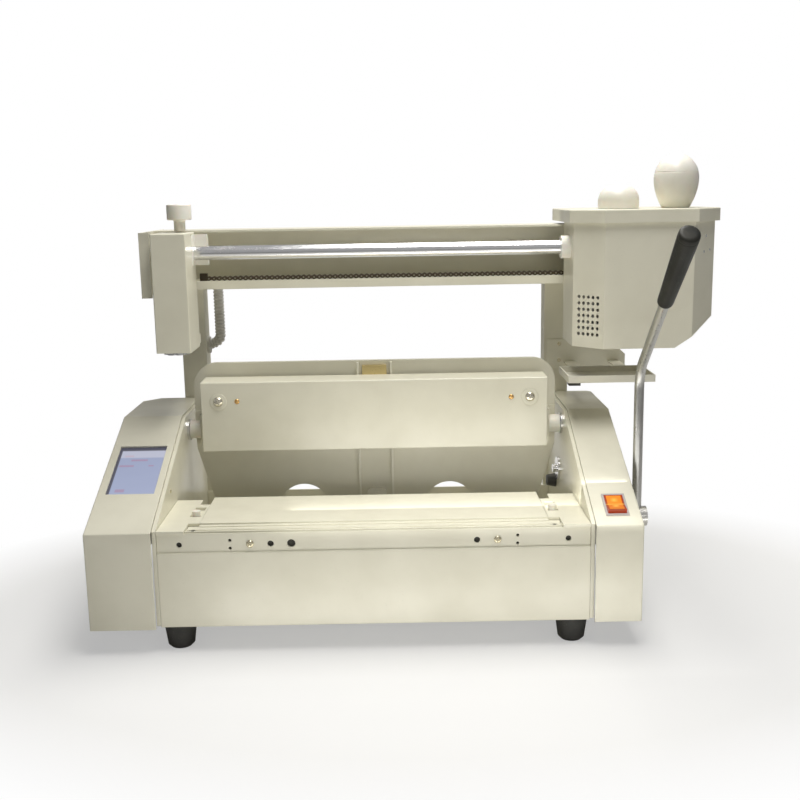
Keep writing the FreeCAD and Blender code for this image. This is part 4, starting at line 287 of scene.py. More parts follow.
class BinderPlastic(PropertyGroup):
    """Colours of the plastics, rubber and lit parts."""

    white: colour("White", "Knob, egg, cap and collars", (0.90, 0.88, 0.80))
    grey: colour("Grey", "Cable conduit and its glands", (0.62, 0.61, 0.58))
    black: colour("Black", "Black mouldings", (0.022, 0.023, 0.020))
    grip: colour("Grip", "Lever grip", (0.020, 0.021, 0.018))
    # Painted shade: near-black for the pieces put behind and in holes, where there is only shade.
    hole: colour("Hole", "Blackened steel deep in a hole", (0.026, 0.025, 0.018))
    rubber: colour("Rubber", "Feet and buffers", (0.030, 0.030, 0.028))
    bezel: colour("Bezel", "Rim of the mains switch", (0.46, 0.42, 0.42))
    orange: colour("Orange", "Translucent rocker", (0.16, 0.022, 0.002))
    glow: colour("Glow", "Light inside the rocker", (1.0, 0.30, 0.008))
    glow_power: amount("Glow power", "Strength of the rocker's light", 0.90)
    screen: colour("Screen", "Lit display", (0.400, 0.455, 0.640))
    screen_dim: colour("Screen dim", "Display where it is dimmer", (0.300, 0.340, 0.500))
    # Painted shadow: the dark rim that the window's edge casts above and at the left of the
    # display; also the glass's own dark colour.
    screen_glass_and_shadow: colour("Screen rim", "Dark rim of the display", (0.055, 0.055, 0.075))
    screen_header: colour("Screen header", "Pale band along the display's top", (1.0, 0.95, 0.95))
    screen_power: amount("Screen power", "Strength of the display's light", 0.80)
    mark: colour("Mark", "Faint bars on the display", (0.46, 0.16, 0.26))
    rocker_edge: colour("Rocker edge", "Rocker along its edges", (0.20, 0.016, 0.002))
    # Painted highlight: the colour of the rocker's ridge line and spots.
    rocker_highlight: colour("Rocker spot", "Brightest places of the rocker", (1.0, 0.70, 0.10))
    rocker_roughness: share("Rocker roughness", "Roughness of the rocker", 0.16)
    rocker_gloss: share("Rocker gloss", "Weight of the clear gloss over the rocker", 0.15)
    screen_roughness: share("Screen roughness", "Roughness of the display's glass", 0.10)
    grip_gloss: share("Grip gloss", "Specular level of the lever grip", 0.18)
    edge_radius: distance("Edge radius", "How far the soft edge reaches", 0.0004)
    mottle_size: distance("Mottle size", "Width of a slightly darker patch", 0.03)
    light_depth: distance("Light depth", "How deep light goes into the white nylon", 0.004)
    dirt_share: share("Dirt share", "How much dust lies on the plastics", 0.12)


class BinderDetail(PropertyGroup):
    """Sizes of the modelled pieces."""

    recess_share: share("Recess share", "Half a cross recess, of the head's radius", 0.52)
    jaw_head_radius: distance("Jaw head radius", "Screw heads on the clamp's jaw", 0.0055)
    brass_head_radius: distance("Brass head radius", "The jaw's copper-coloured screws", 0.0030)
    washer_height: distance("Washer height", "Thickness of the jaw's washers", 0.0012)
    tiny_head: distance("Tiny head", "Radius of the small screws on the glue housing", 0.0016)
    chain_pitch: distance("Chain pitch", "From pin to pin", 0.00635)
    chain_inner: distance("Chain inner width", "Between the inner plates", 0.0032)
    chain_roller: distance("Chain roller", "Radius of a roller", 0.00165)
    chain_pin: distance("Chain pin", "Radius of a pin", 0.00105)
    pin_rise: distance("Pin rise", "How far a pin stands out", 0.00035)
    plate_height: distance("Plate height", "Height of a link plate", 0.0054)
    plate_waist: distance("Plate waist", "Height of a link plate at its middle", 0.0030)
    plate_sheet: distance("Plate sheet", "Thickness of a link plate", 0.0006)
    hose_crest: distance("Hose crest", "Radius over the conduit's ribs", 0.0066)
    hose_root: distance("Hose root", "Radius between the ribs", 0.0055)
    hose_ribs: IntProperty(name="Hose ribs", description="Ribs on the conduit", default=28, min=2)
    egg_foot: distance("Egg foot", "Radius of the egg's foot", 0.015)
    egg_belly_share: share("Egg belly share", "Height of its widest place", 0.54)
    egg_seam_share: share("Egg seam share", "Height of its moulding seam", 0.66)
    egg_seam: distance("Egg seam", "Half the seam's width", 0.00035)
    knob_stem: distance("Knob stem", "Radius of the knob's stem", 0.0065)
    knob_height: distance("Knob height", "Height of the knob's head", 0.0175)
    knob_round: distance("Knob round", "Rounding of the knob's rims", 0.0018)
    knob_dish: distance("Knob dish", "Depth of the dish in its top", 0.0007)
    grip_low: distance("Grip low", "Radius of the grip's lower end", 0.0080)
    grip_top: distance("Grip top", "Radius of the grip's upper end", 0.0102)
    grip_flats: IntProperty(name="Grip flats", description="Flats round the grip", default=12,
                            min=3)
    grip_flat_depth: distance("Grip flat depth", "Depth of the flats", 0.00012)
    # Dark discs behind the band's holes, which are painted shade: their thickness, and how much
    # wider they are than a hole.
    shade_sheet: distance("Insert sheet", "Thickness behind the band's holes", 0.00015)
    shade_rim: distance("Insert rim", "How far an insert is wider than its hole", 0.0010)


class BinderStage(PropertyGroup):
    """Camera, lamps and floor of the studio."""

    lens: FloatProperty(
        name="Lens", description="Focal length in millimetres", default=47.11, min=10.0,
    )
    camera_place: FloatVectorProperty(
        name="Camera place", description="Where the camera stands", unit="LENGTH",
        default=(-0.02493, -1.142358, 0.46472),
    )
    yaw: rotation("Yaw", "Turn to the right", 0.004)
    pitch: rotation("Pitch", "Tilt down", 0.194)
    roll: rotation("Roll", "Tilt aside", 0.017)
    key_power: amount("Key power", "Watts of the softbox overhead", 24.0)
    fill_power: amount("Fill power", "Watts of the large front lamp", 0.4)
    bounce_power: amount("Bounce power", "Watts of the light from the table top", 0.36)
    card_power: amount("Card power", "Watts of the card before the clamp", 0.12)
    well_power: amount("Well power", "Watts of the card in the book well", 0.10)
    sky_power: amount("Sky power", "Light from the white studio all round", 0.07)
    mirror_share: share("Mirror share", "How bright the studio is in reflections", 0.38)
    table: colour("Table", "The table top", (0.90, 0.895, 0.88))
    table_roughness: share("Table roughness", "Roughness of the table top", 0.75)
    table_gloss: share("Table gloss", "Specular level of the table top", 0.2)
    floor_half: distance("Floor half", "Half the floor's side", 6.0)
    floor_fade: distance("Floor fade", "Where the floor turns into plain white", 0.66)
    fade_start: share("Fade start", "Where the fade starts, of that distance", 0.56)
    fade_squeeze: amount("Fade squeeze", "How much nearer it is to the front and rear", 1.45)
    fade_least: share("Fade least", "Least share of plain white on the floor", 0.42)


class BinderSettings(PropertyGroup):
    """All settings of the binding machine's looks."""

    paint: PointerProperty(type=BinderPaint)
    metal: PointerProperty(type=BinderMetal)
    plastic: PointerProperty(type=BinderPlastic)
    detail: PointerProperty(type=BinderDetail)
    stage: PointerProperty(type=BinderStage)


def settings():
    """The scene's settings."""
    return bpy.context.scene.binder


# Shader groups


def shader_group(name, inputs, outputs):
    """A node group with sockets by name and kind: it, its ends' sockets and its wiring."""
    group = bpy.data.node_groups.new(name, "ShaderNodeTree")
    for way, sockets in (("INPUT", inputs), ("OUTPUT", outputs)):
        for label, kind in sockets.items():
            group.interface.new_socket(label, in_out=way, socket_type="NodeSocket" + kind)
    entry = group.nodes.new("NodeGroupInput")
    leave = group.nodes.new("NodeGroupOutput")
    return group, entry.outputs, leave.inputs, Wiring(group)


class Wiring:
    """Short calls that add nodes to a tree and join them up."""

    def __init__(self, tree):
        self.tree = tree

    def node(self, kind, **values):
        """A node of a kind, with its own settings."""
        made = self.tree.nodes.new("ShaderNode" + kind)
        for label, value in values.items():
            setattr(made, label, value)
        return made

    def feed(self, socket, value):
        """Links an output into a socket, or writes a plain value there."""
        if isinstance(value, bpy.types.NodeSocket):
            self.tree.links.new(value, socket)
        else:
            socket.default_value = value

    def maths(self, operation, *values):
        """One step of arithmetic."""
        made = self.node("Math", operation=operation)
        for socket, value in zip(made.inputs, values):
            self.feed(socket, value)
        return made.outputs[0]

    def times(self, first, *others):
        """A product of two or more values."""
        for other in others:
            first = self.maths("MULTIPLY", first, other)
        return first

    def highest(self, first, *others):
        """The highest of two or more values."""
        for other in others:
            first = self.maths("MAXIMUM", first, other)
        return first

    def vector(self, operation, *values):
        """One step of vector arithmetic."""
        made = self.node("VectorMath", operation=operation)
        for socket, value in zip(made.inputs, values):
            self.feed(socket, value)
        return made.outputs["Value" if operation in ("DOT_PRODUCT", "DISTANCE") else "Vector"]

    def span(self, value, low, high, start=0.0, stop=1.0):
        """A value moved from one range to another, kept inside it."""
        made = self.node("MapRange", clamp=True)
        for label, entry in zip(
            ("Value", "From Min", "From Max", "To Min", "To Max"),
            (value, low, high, start, stop),
        ):
            self.feed(made.inputs[label], entry)
        return made.outputs["Result"]

    def inside(self, value, low, high, soft):
        """1 from low to high, falling to 0 over a soft border."""
        rise = self.span(value, low - soft, low)
        return self.times(rise, self.span(value, high + soft, high))

    def blend(self, factor, first, second):
        """Two colours mixed."""
        made = self.node("Mix", data_type="RGBA")
        sockets = [socket for socket in made.inputs if socket.enabled]
        for socket, value in zip(sockets, (factor, first, second)):
            self.feed(socket, value)
        return [socket for socket in made.outputs if socket.enabled][0]

    def noise(self, place, scale, detail=2.0, roughness=0.5):
        """Plain noise at a place."""
        made = self.node("TexNoise")
        self.feed(made.inputs["Vector"], place)
        self.feed(made.inputs["Scale"], scale)
        made.inputs["Detail"].default_value = detail
        made.inputs["Roughness"].default_value = roughness
        return made.outputs["Fac"]

    def place(self):
        """The point on the piece, in its own frame."""
        return self.node("TexCoord").outputs["Object"]

    def axes(self):
        """X, Y and Z of that point, apart."""
        split = self.node("SeparateXYZ")
        self.feed(split.inputs[0], self.place())
        return split.outputs

    def group(self, tree, **values):
        """A shader group placed here, its inputs named with _ for a space."""
        made = self.node("Group")
        made.node_tree = tree
        for label, value in values.items():
            self.feed(made.inputs[label.replace("_", " ")], value)
        return made.outputs

    def bump(self, height, reach, normal=None):
        """A bump from a height, reach metres high at height 1."""
        made = self.node("Bump")
        self.feed(made.inputs["Height"], height)
        self.feed(made.inputs["Distance"], reach)
        if normal is not None:
            self.feed(made.inputs["Normal"], normal)
        return made.outputs["Normal"]


def rgba(value):
    """A colour setting with full alpha."""
    return (*value, 1.0)


def lowered(value, factors):
    """A colour setting with each channel lowered by its own factor."""
    return rgba(channel * factor for channel, factor in zip(value, factors))


@cache
def peel_group():
    """Orange peel of a sprayed or moulded skin: its height and its slow mottling."""
    group, entry, leave, wires = shader_group(
        "Skin peel", {"Size": "Float", "Mottle Size": "Float"},
        {"Height": "Float", "Mottle": "Float"},
    )
    place = wires.place()
    fine = wires.noise(place, wires.maths("DIVIDE", 1.0, entry["Size"]), roughness=0.45)
    slow = wires.noise(place, wires.maths("DIVIDE", 1.0, entry["Mottle Size"]), detail=3.0,
                       roughness=0.55)
    wires.feed(leave["Height"], fine)
    wires.feed(leave["Mottle"], wires.span(slow, *MOTTLE_SPAN))
    return group


@cache
def edge_group():
    """Soft edges: a rounded normal, and a mask that is 1 along the edges, which the coat uses for a
    painted highlight.
    """
    group, entry, leave, wires = shader_group(
        "Soft edge", {"Radius": "Float"}, {"Normal": "Vector", "Edge": "Float"})
    bevel = wires.node("Bevel", samples=6)
    wires.feed(bevel.inputs["Radius"], entry["Radius"])
    plain = wires.node("NewGeometry").outputs["Normal"]
    together = wires.vector("DOT_PRODUCT", bevel.outputs[0], plain)
    wires.feed(leave["Normal"], bevel.outputs[0])
    wires.feed(leave["Edge"], wires.span(together, *EDGE_SPAN))
    return group


@cache
def dust_group():
    """Dust and handling marks: more on upward faces, in clouds and small spots."""
    group, entry, leave, wires = shader_group("Dust", {"Amount": "Float"}, {"Mask": "Float"})
    place = wires.place()
    lumps = wires.noise(place, CLOUDS_PER_METRE, detail=4.0, roughness=0.6)
    clouds = wires.span(lumps, *CLOUD_SPAN)
    spots = wires.span(wires.noise(place, SPOTS_PER_METRE, roughness=0.6), *SPOT_SPAN)
    up = wires.vector("DOT_PRODUCT", wires.node("NewGeometry").outputs["Normal"], (0, 0, 1))
    lying = wires.span(up, *UPWARD_SPAN, DUST_BELOW, 1.0)
    both = wires.maths("ADD", wires.times(clouds, lying), wires.times(spots, SPOT_SHARE))
    wires.feed(leave["Mask"], wires.times(both, entry["Amount"]))
    return group


@cache
def brushed_group():
    """Fine lines of a drawn, turned or ground metal."""
    group, entry, leave, wires = shader_group(
        "Brushed lines", {"Stretch": "Vector"}, {"Height": "Float", "Streak": "Float"})
    drawn = wires.vector("MULTIPLY", wires.place(), entry["Stretch"])
    lines = wires.noise(drawn, 1.0, detail=3.0, roughness=0.6)
    wires.feed(leave["Height"], lines)
    wires.feed(leave["Streak"], wires.span(lines, *MOTTLE_SPAN))
    return group


# Finishes


def new_finish(name):
    """A material, its Principled shader's sockets and its wiring."""
    material = bpy.data.materials.new(name)
    material.use_nodes = True
    shader = material.node_tree.nodes["Principled BSDF"]
    return material, shader.inputs, Wiring(material.node_tree)


def painted(name, base, thin, peel_share=1.0, roughness=None):
    """Powder coat with orange peel, a painted highlight along its edges, and a little dust."""
    paint = settings().paint
    material, skin, wires = new_finish(name)
    peel = wires.group(peel_group(), Size=paint.peel_size, Mottle_Size=paint.mottle_size)
    edge = wires.group(edge_group(), Radius=paint.edge_radius)
    dust = wires.group(dust_group(), Amount=paint.dirt_share)
    body = wires.blend(peel["Mottle"], rgba(base), rgba(thin))
    # Painted highlight: the edges lighter in colour, where they catch the light.
    edge_highlighted = wires.blend(wires.times(edge["Edge"], paint.edge_highlight_share), body, rgba(paint.edge))
    wires.feed(skin["Base Color"], wires.blend(dust["Mask"], edge_highlighted, rgba(paint.dirt)))
    rough = paint.roughness if roughness is None else roughness
    worn = wires.span(peel["Mottle"], 0.0, 1.0, rough - COAT_SPREAD[0], rough + COAT_SPREAD[1])
    dusty = wires.times(dust["Mask"], COAT_DUST)
    wires.feed(skin["Roughness"], wires.maths("ADD", worn, dusty))
    reach = paint.peel_height * peel_share
    wires.feed(skin["Normal"], wires.bump(peel["Height"], reach, edge["Normal"]))
    skin["Coat Weight"].default_value = paint.gloss
    skin["Coat Roughness"].default_value = paint.gloss_roughness
    return material


def bare_metal(name, base, roughness, stretch=(900.0,) * 3, reach=0.000004, tarnish=None):
    """Bare metal with fine lines, so many to the metre, and darker where it is tarnished."""
    metal = settings().metal
    material, skin, wires = new_finish(name)
    lines = wires.group(brushed_group(), Stretch=stretch)
    edge = wires.group(edge_group(), Radius=metal.edge_radius)
    dust = wires.group(dust_group(), Amount=metal.dirt_share)
    dark = rgba(tarnish) if tarnish else lowered(base, TARNISHED)
    wires.feed(skin["Base Color"], wires.blend(dust["Mask"], rgba(base), dark))
    streaked = wires.span(lines["Streak"], 0.0, 1.0, *(roughness * part for part in METAL_SPREAD))
    dusty = wires.times(dust["Mask"], METAL_DUST)
    wires.feed(skin["Roughness"], wires.maths("ADD", streaked, dusty))
    lined = wires.bump(lines["Height"], reach, edge["Normal"]) if reach else edge["Normal"]
    wires.feed(skin["Normal"], lined)
    skin["Metallic"].default_value = 1.0
    return material


def moulded(name, base, roughness, grain=0.0006, reach=0.00001, coat=0.0, depth=0.0):
    """Moulded plastic or rubber with a fine grain and faint marks."""
    plastic = settings().plastic
    material, skin, wires = new_finish(name)
    peel = wires.group(peel_group(), Size=grain, Mottle_Size=plastic.mottle_size)
    edge = wires.group(edge_group(), Radius=plastic.edge_radius)
    dust = wires.group(dust_group(), Amount=plastic.dirt_share)
    body = wires.blend(peel["Mottle"], rgba(base), lowered(base, MOTTLED))
    wires.feed(skin["Base Color"], wires.blend(dust["Mask"], body, rgba(settings().paint.dirt)))
    worn = wires.span(peel["Mottle"], 0.0, 1.0,
                      roughness - PLASTIC_SPREAD[0], roughness + PLASTIC_SPREAD[1])
    wires.feed(skin["Roughness"], worn)
    wires.feed(skin["Normal"], wires.bump(peel["Height"], reach, edge["Normal"]))
    skin["Coat Weight"].default_value = coat
    skin["Subsurface Weight"].default_value = depth
    skin["Subsurface Scale"].default_value = plastic.light_depth
    return material


def ivory_paint():
    """The covers' glossy warm ivory."""
    paint = settings().paint
    return painted("Ivory powder coat", paint.ivory, paint.shade)


def rib_highlight_paint():
    """Painted highlight: the board's ribs in a lighter copy of the ivory coat, for the light that
    their narrow edges catch.
    """
    paint = settings().paint
    return painted("Rib coat", paint.edge, paint.ivory)


def tray_steel():
    """The tray's duller coat."""
    paint = settings().paint
    return painted("Tray coat", paint.tray, paint.shade, peel_share=1.4, roughness=0.45)


def chrome_plate():
    """Plated rod, polished along its length."""
    return bare_metal("Chrome plate", settings().metal.chrome, roughness=0.19,
                      stretch=(30.0, 500.0, 500.0), reach=0.0)


def bright_steel():
    """Zinc-plated or ground steel."""
    return bare_metal("Bright steel", settings().metal.steel, roughness=0.28)


def dark_steel():
    """Oiled dark steel."""
    metal = settings().metal
    return bare_metal("Oiled steel", metal.oiled, roughness=0.38, stretch=(700.0,) * 3,
                      reach=0.00001, tarnish=metal.grime)


def cast_aluminium():
    """Sand-blasted cast aluminium."""
    return bare_metal("Cast aluminium", settings().metal.cast, roughness=0.42,
                      stretch=(1600.0,) * 3, reach=0.00001)


def brass():
    """Bright yellow brass."""
    return bare_metal("Brass", settings().metal.brass, roughness=0.34, stretch=(260.0,) * 3,
                      reach=0.000002)


def white_plastic():
    """White nylon, slightly see-through."""
    return moulded("White nylon", settings().plastic.white, roughness=0.36, grain=0.0009,
                   reach=0.000006, coat=0.1, depth=0.10)


def grey_plastic():
    """Grey conduit plastic."""
    return moulded("Grey conduit plastic", settings().plastic.grey, roughness=0.42)


def black_plastic():
    """Black grained mouldings."""
    return moulded("Black grip plastic", settings().plastic.black, roughness=0.42, grain=0.0007,
                   reach=0.00002)


def black_rubber():
    """Matt black rubber."""
    return moulded("Black rubber", settings().plastic.rubber, roughness=0.62, grain=0.0007,
                   reach=0.00003)


def pale_plastic():
    """Pale rim of the switch."""
    return moulded("Pale switch rim", settings().plastic.bezel, roughness=0.36)


def orange_plastic():
    """Translucent orange rocker: lit halves, dark red edges, and painted highlights on the ridge
    between the halves and in spots.
    """
    plastic = settings().plastic
    material, skin, wires = new_finish("Lit orange plastic")
    low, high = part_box("power_rocker")
    place = wires.axes()
    across = wires.span(place["X"], low.x, high.x)
    up = wires.span(place["Y"], low.y, high.y)
    sides = wires.inside(across, *ROCKER_SIDES)
    ends = wires.inside(up, *ROCKER_ENDS)
    lower = wires.span(up, *ROCKER_STEP, ROCKER_LOWER)
    # Painted highlights: a bright line along the ridge and spots on both halves.
    ridge_highlight = wires.inside(up, *ROCKER_RIDGE_HIGHLIGHT)
    spots = wires.highest(wires.inside(up, *ROCKER_LOW_HIGHLIGHT), wires.inside(up, *ROCKER_HIGH_HIGHLIGHT))
    highlight = wires.times(wires.inside(across, *ROCKER_HIGHLIGHT_SIDES), spots)
    glow = wires.blend(wires.times(sides, ends, lower), rgba(plastic.rocker_edge),
                       rgba(plastic.glow))
    # The painted highlights of the ridge and the spots together.
    bright = wires.highest(wires.times(ridge_highlight, ROCKER_RIDGE_HIGHLIGHT_SHARE), highlight)
    lit = wires.blend(wires.times(bright, ROCKER_HIGHLIGHT_SHARE), glow, rgba(plastic.rocker_highlight))
    wires.feed(skin["Emission Color"], lit)
    wires.feed(skin["Base Color"],
               wires.blend(sides, rgba(plastic.rocker_edge), rgba(plastic.orange)))
    skin["Emission Strength"].default_value = plastic.glow_power
    skin["Roughness"].default_value = plastic.rocker_roughness
    skin["Coat Weight"].default_value = plastic.rocker_gloss
    return material


def display_glass():
    """Lit display: a painted shadow of the window's edge as a dark rim above and at the left,
    cloudy light, a few plain bars.
    """
    plastic = settings().plastic
    material, skin, wires = new_finish("Lit display")
    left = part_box("left_cover")[0].x + SCREEN_EDGE / 1000
    right = from_drawing(SCREEN_RIGHT, 0.0, 0.0).x
    bottom, top = (from_drawing(0.0, 0.0, z).z for z in SCREEN_Z)
    place = wires.axes()
    across = wires.span(place["X"], left, right)
    up = wires.span(place["Z"], bottom, top)
    lumps = wires.noise(wires.place(), SCREEN_CLOUDS_PER_METRE)
    cloud = wires.span(lumps, *SCREEN_CLOUD_SPAN, SCREEN_CLOUD_LEAST)
    fade = wires.times(cloud, wires.span(up, 0.0, 1.0, 1.0, SCREEN_TOP_SHARE))
    picture = wires.blend(fade, rgba(plastic.screen_dim), rgba(plastic.screen))
    marks = wires.highest(*(
        wires.times(wires.inside(across, start, stop, SCREEN_BAR_SOFT[0]),
                    wires.inside(up, floor, ceiling, SCREEN_BAR_SOFT[1]))
        for start, stop, floor, ceiling in SCREEN_BARS
    ))
    marked = wires.blend(wires.times(marks, SCREEN_BAR_SHARE), picture, rgba(plastic.mark))
    header = wires.times(wires.span(up, *SCREEN_HEADER), SCREEN_HEADER_SHARE)
    lit = wires.blend(header, marked, rgba(plastic.screen_header))
    # Painted shadow: dark along the top and the left, where the window's edge shades the display.
    unshadowed_share = wires.times(wires.span(across, *SCREEN_LEFT_SHADOW),
                                wires.span(up, *SCREEN_TOP_SHADOW))
    wires.feed(skin["Emission Color"],
               wires.blend(unshadowed_share, rgba(plastic.screen_glass_and_shadow), lit))
    skin["Emission Strength"].default_value = plastic.screen_power
    skin["Base Color"].default_value = rgba(plastic.screen_glass_and_shadow)
    skin["Roughness"].default_value = plastic.screen_roughness
    return material


def satin_steel():
    """Satin steel of the lever's rod, worn by the hand."""
    return bare_metal("Satin steel", settings().metal.satin, roughness=0.30,
                      stretch=(260.0, 260.0, 40.0), reach=0.000001)


def pin_steel():
    """Worn ends of the chain's pins."""
    return bare_metal("Pin steel", settings().metal.pin, roughness=0.34)


def zinc_yellow():
    """Yellow zinc plate on machine screws."""
    return bare_metal("Yellow zinc", settings().metal.zinc, roughness=0.24)


def nickel():
    """Bright nickel plate."""
    return bare_metal("Nickel", settings().metal.nickel, roughness=0.16)


def copper():
    """Copper-coloured brass screw."""
    return bare_metal("Copper brass", settings().metal.copper, roughness=0.22)


def grip_plastic():
    """Black grip, polished by the hand."""
    plastic = settings().plastic
    material = moulded("Worn grip plastic", plastic.grip, roughness=0.44, grain=0.0008,
                       reach=0.00003)
    skin = material.node_tree.nodes["Principled BSDF"].inputs
    skin["Specular IOR Level"].default_value = plastic.grip_gloss
    return material


def painted_hole_shade():
    """Painted shade: near-black for the dark pieces in holes."""
    return moulded("Hole black", settings().plastic.hole, roughness=0.6)


# The record's slots, each with the function of its own name that makes its finish.
FINISHES = {
    maker.__name__: maker for maker in (
        ivory_paint, tray_steel, chrome_plate, bright_steel, dark_steel, cast_aluminium, brass,
        white_plastic, grey_plastic, black_plastic, black_rubber, pale_plastic, orange_plastic,
        display_glass,
    )
}


@cache
def finish(slot):
    """The material of one of the record's slots, made once."""
    return FINISHES[slot]()


# Making pieces


def from_drawing(x, y, z):
    """A point of the drawing frame, in millimetres, in the part's frame."""
    return Vector((x, y, z)) / 1000 + DRAWING_SHIFT


def placed(name, data):
    """A new object in the scene."""
    made = bpy.data.objects.new(name, data)
    bpy.context.scene.collection.objects.link(made)
    return made


def piece(name, shape, body, slot, stands_for=(), smooth_angle=35.0, material=None):
    """A new piece from a bmesh, with its finish, riding on a body and standing for CAD nodes."""
    mesh = mesh_from(name, shape)
    made = placed(name, mesh)
    mesh.materials.append(material or finish(slot))
    shade_soft(mesh, smooth_angle)
    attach(made, body)
    if stands_for:
        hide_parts(*stands_for)
    return made


def shade_soft(mesh, angle):
    """Smooth shading that keeps edges sharper than an angle in degrees."""
    shape = bmesh.new()
    shape.from_mesh(mesh)
    for face in shape.faces:
        face.smooth = True
    for edge in shape.edges:
        edge.smooth = len(edge.link_faces) == 2 and edge.calc_face_angle() < math.radians(angle)
    shape.to_mesh(mesh)
    shape.free()


def mesh_from(name, shape):
    """A mesh datablock from a bmesh, which it frees."""
    bmesh.ops.recalc_face_normals(shape, faces=shape.faces)
    mesh = bpy.data.meshes.new(name)
    shape.to_mesh(mesh)
    shape.free()
    return mesh


def facing(outward):
    """A turn that takes Z to a direction."""
    return Vector(outward).to_track_quat("Z", "Y").to_matrix().to_4x4()


def lathe(shape, profile, matrix, segments):
    """Adds a turned solid: a profile of (radius, height) from axis to axis."""
    rings = []
    for radius, height in profile:
        if radius == 0.0:
            rings.append([shape.verts.new(matrix @ Vector((0, 0, height)))])
            continue
        rings.append([
            shape.verts.new(matrix @ Vector((
                radius * math.cos(math.tau * k / segments),
                radius * math.sin(math.tau * k / segments), height)))
            for k in range(segments)
        ])
    for low, high in zip(rings, rings[1:]):
        for k in range(segments):
            following = (k + 1) % segments
            corners = [low[k % len(low)], low[following % len(low)],
                       high[following % len(high)], high[k % len(high)]]
            corners = list(dict.fromkeys(corners))
            if len(corners) > 2:
                shape.faces.new(corners)


def rounded(points, radius, steps=5):
    """A profile with each corner between its ends rounded to a radius."""
    smooth = [points[0]]
    for before, corner, after in zip(points, points[1:], points[2:]):
        corner = Vector(corner)
        back, on = Vector(before) - corner, Vector(after) - corner
        reach = min(radius, back.length * ROUND_REACH, on.length * ROUND_REACH)
        start = corner + back.normalized() * reach
        stop = corner + on.normalized() * reach
        for k in range(steps + 1):
            t = k / steps
            smooth.append(start * (1 - t) ** 2 + corner * (2 * t * (1 - t)) + stop * t ** 2)
    smooth.append(points[-1])
    return [tuple(point) for point in smooth]


def loose_solids(node):
    """The separate solids of a CAD node, each as a list of its points."""
    shape = bmesh.new()
    shape.from_mesh(NODES[node].data)
    bmesh.ops.remove_doubles(shape, verts=shape.verts, dist=TOUCH)
    left, found = set(shape.verts), []
    while left:
        stack, solid = [left.pop()], []
        while stack:
            vert = stack.pop()
            solid.append(vert.co.copy())
            for edge in vert.link_edges:
                other = edge.other_vert(vert)
                if other in left:
                    left.remove(other)
                    stack.append(other)
        found.append(solid)
    shape.free()
    return sorted(found, key=lambda solid: tuple(round(c, 5) for c in min(solid, key=tuple)))


def limits(points):
    """Lowest and highest corner of some points."""
    low = Vector(min(point[k] for point in points) for k in range(3))
    high = Vector(max(point[k] for point in points) for k in range(3))
    return low, high


# Fine pieces


def kept_result(thing):
    """The mesh of an object with its modifiers applied; the object goes."""
    bpy.context.view_layer.update()
    graph = bpy.context.evaluated_depsgraph_get()
    mesh = bpy.data.meshes.new_from_object(thing.evaluated_get(graph), depsgraph=graph)
    bpy.data.objects.remove(thing)
    return mesh


def standing(node):
    """A placement at the middle of a node's foot, its radius and its height."""
    low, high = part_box(node)
    middle = (low + high) / 2
    place = Matrix.Translation((middle.x, middle.y, low.z))
    return place, (high.x - low.x) / 2, high.z - low.z


@cache
def cross_head():
    """A domed screw head of radius 1, seated at Z = 0, with a cross recess."""
    long = settings().detail.recess_share
    slim = long / RECESS_SLIMNESS
    shape = bmesh.new()
    outline = [(0.0, 0.0), (1.0, 0.0), (1.0, HEAD_RIM), HEAD_SHOULDER, (0.0, HEAD_RISE)]
    lathe(shape, rounded(outline, HEAD_ROUND), Matrix(), segments=40)
    head = placed("Head", mesh_from("Head", shape))
    shape = bmesh.new()
    for x, y in ((long, slim), (slim, long)):
        scale = Matrix.Diagonal((2 * x, 2 * y, 1.0, 1.0))
        place = Matrix.Translation((0, 0, RECESS_MIDDLE)) @ scale
        bmesh.ops.create_cube(shape, size=1.0, matrix=place)
    tool = placed("Driver", mesh_from("Driver", shape))
    cut = head.modifiers.new("Recess", "BOOLEAN")
    cut.object, cut.solver, cut.use_self = tool, "EXACT", True
    mesh = kept_result(head)
    bpy.data.objects.remove(tool)
    return mesh


def stamp(shape, mesh, matrix):
    """Adds a placed copy of a mesh to a shape."""
    before = len(shape.verts)
    shape.from_mesh(mesh)
    shape.verts.ensure_lookup_table()
    bmesh.ops.transform(shape, matrix=matrix, verts=shape.verts[before:])


def head_places(node):
    """Seat, outward direction, top radius, seat radius and height of each of a node's screws."""
    places = []
    for points in loose_solids(node):
        low, high = limits(points)
        size = high - low
        axis = min(range(3), key=lambda k: size[k])
        middle = (low + high) / 2

        def reach(end):
            near = [point for point in points if abs(point[axis] - end) < 10 * TOUCH]
            return max(
                math.dist([point[k] for k in range(3) if k != axis],
                          [middle[k] for k in range(3) if k != axis]) for point in near
            )

        ends = sorted((low[axis], high[axis]), key=reach)
        outward = Vector([float(k == axis) * math.copysign(1, ends[0] - ends[1]) for k in range(3)])
        seat = middle.copy()
        seat[axis] = ends[1]
        places.append((seat, outward, reach(ends[0]), reach(ends[1]), size[axis]))
    return places


def turned_by(matrix, angle):
    """A placement turned about its own Z."""
    return matrix @ Matrix.Rotation(angle, 4, "Z")


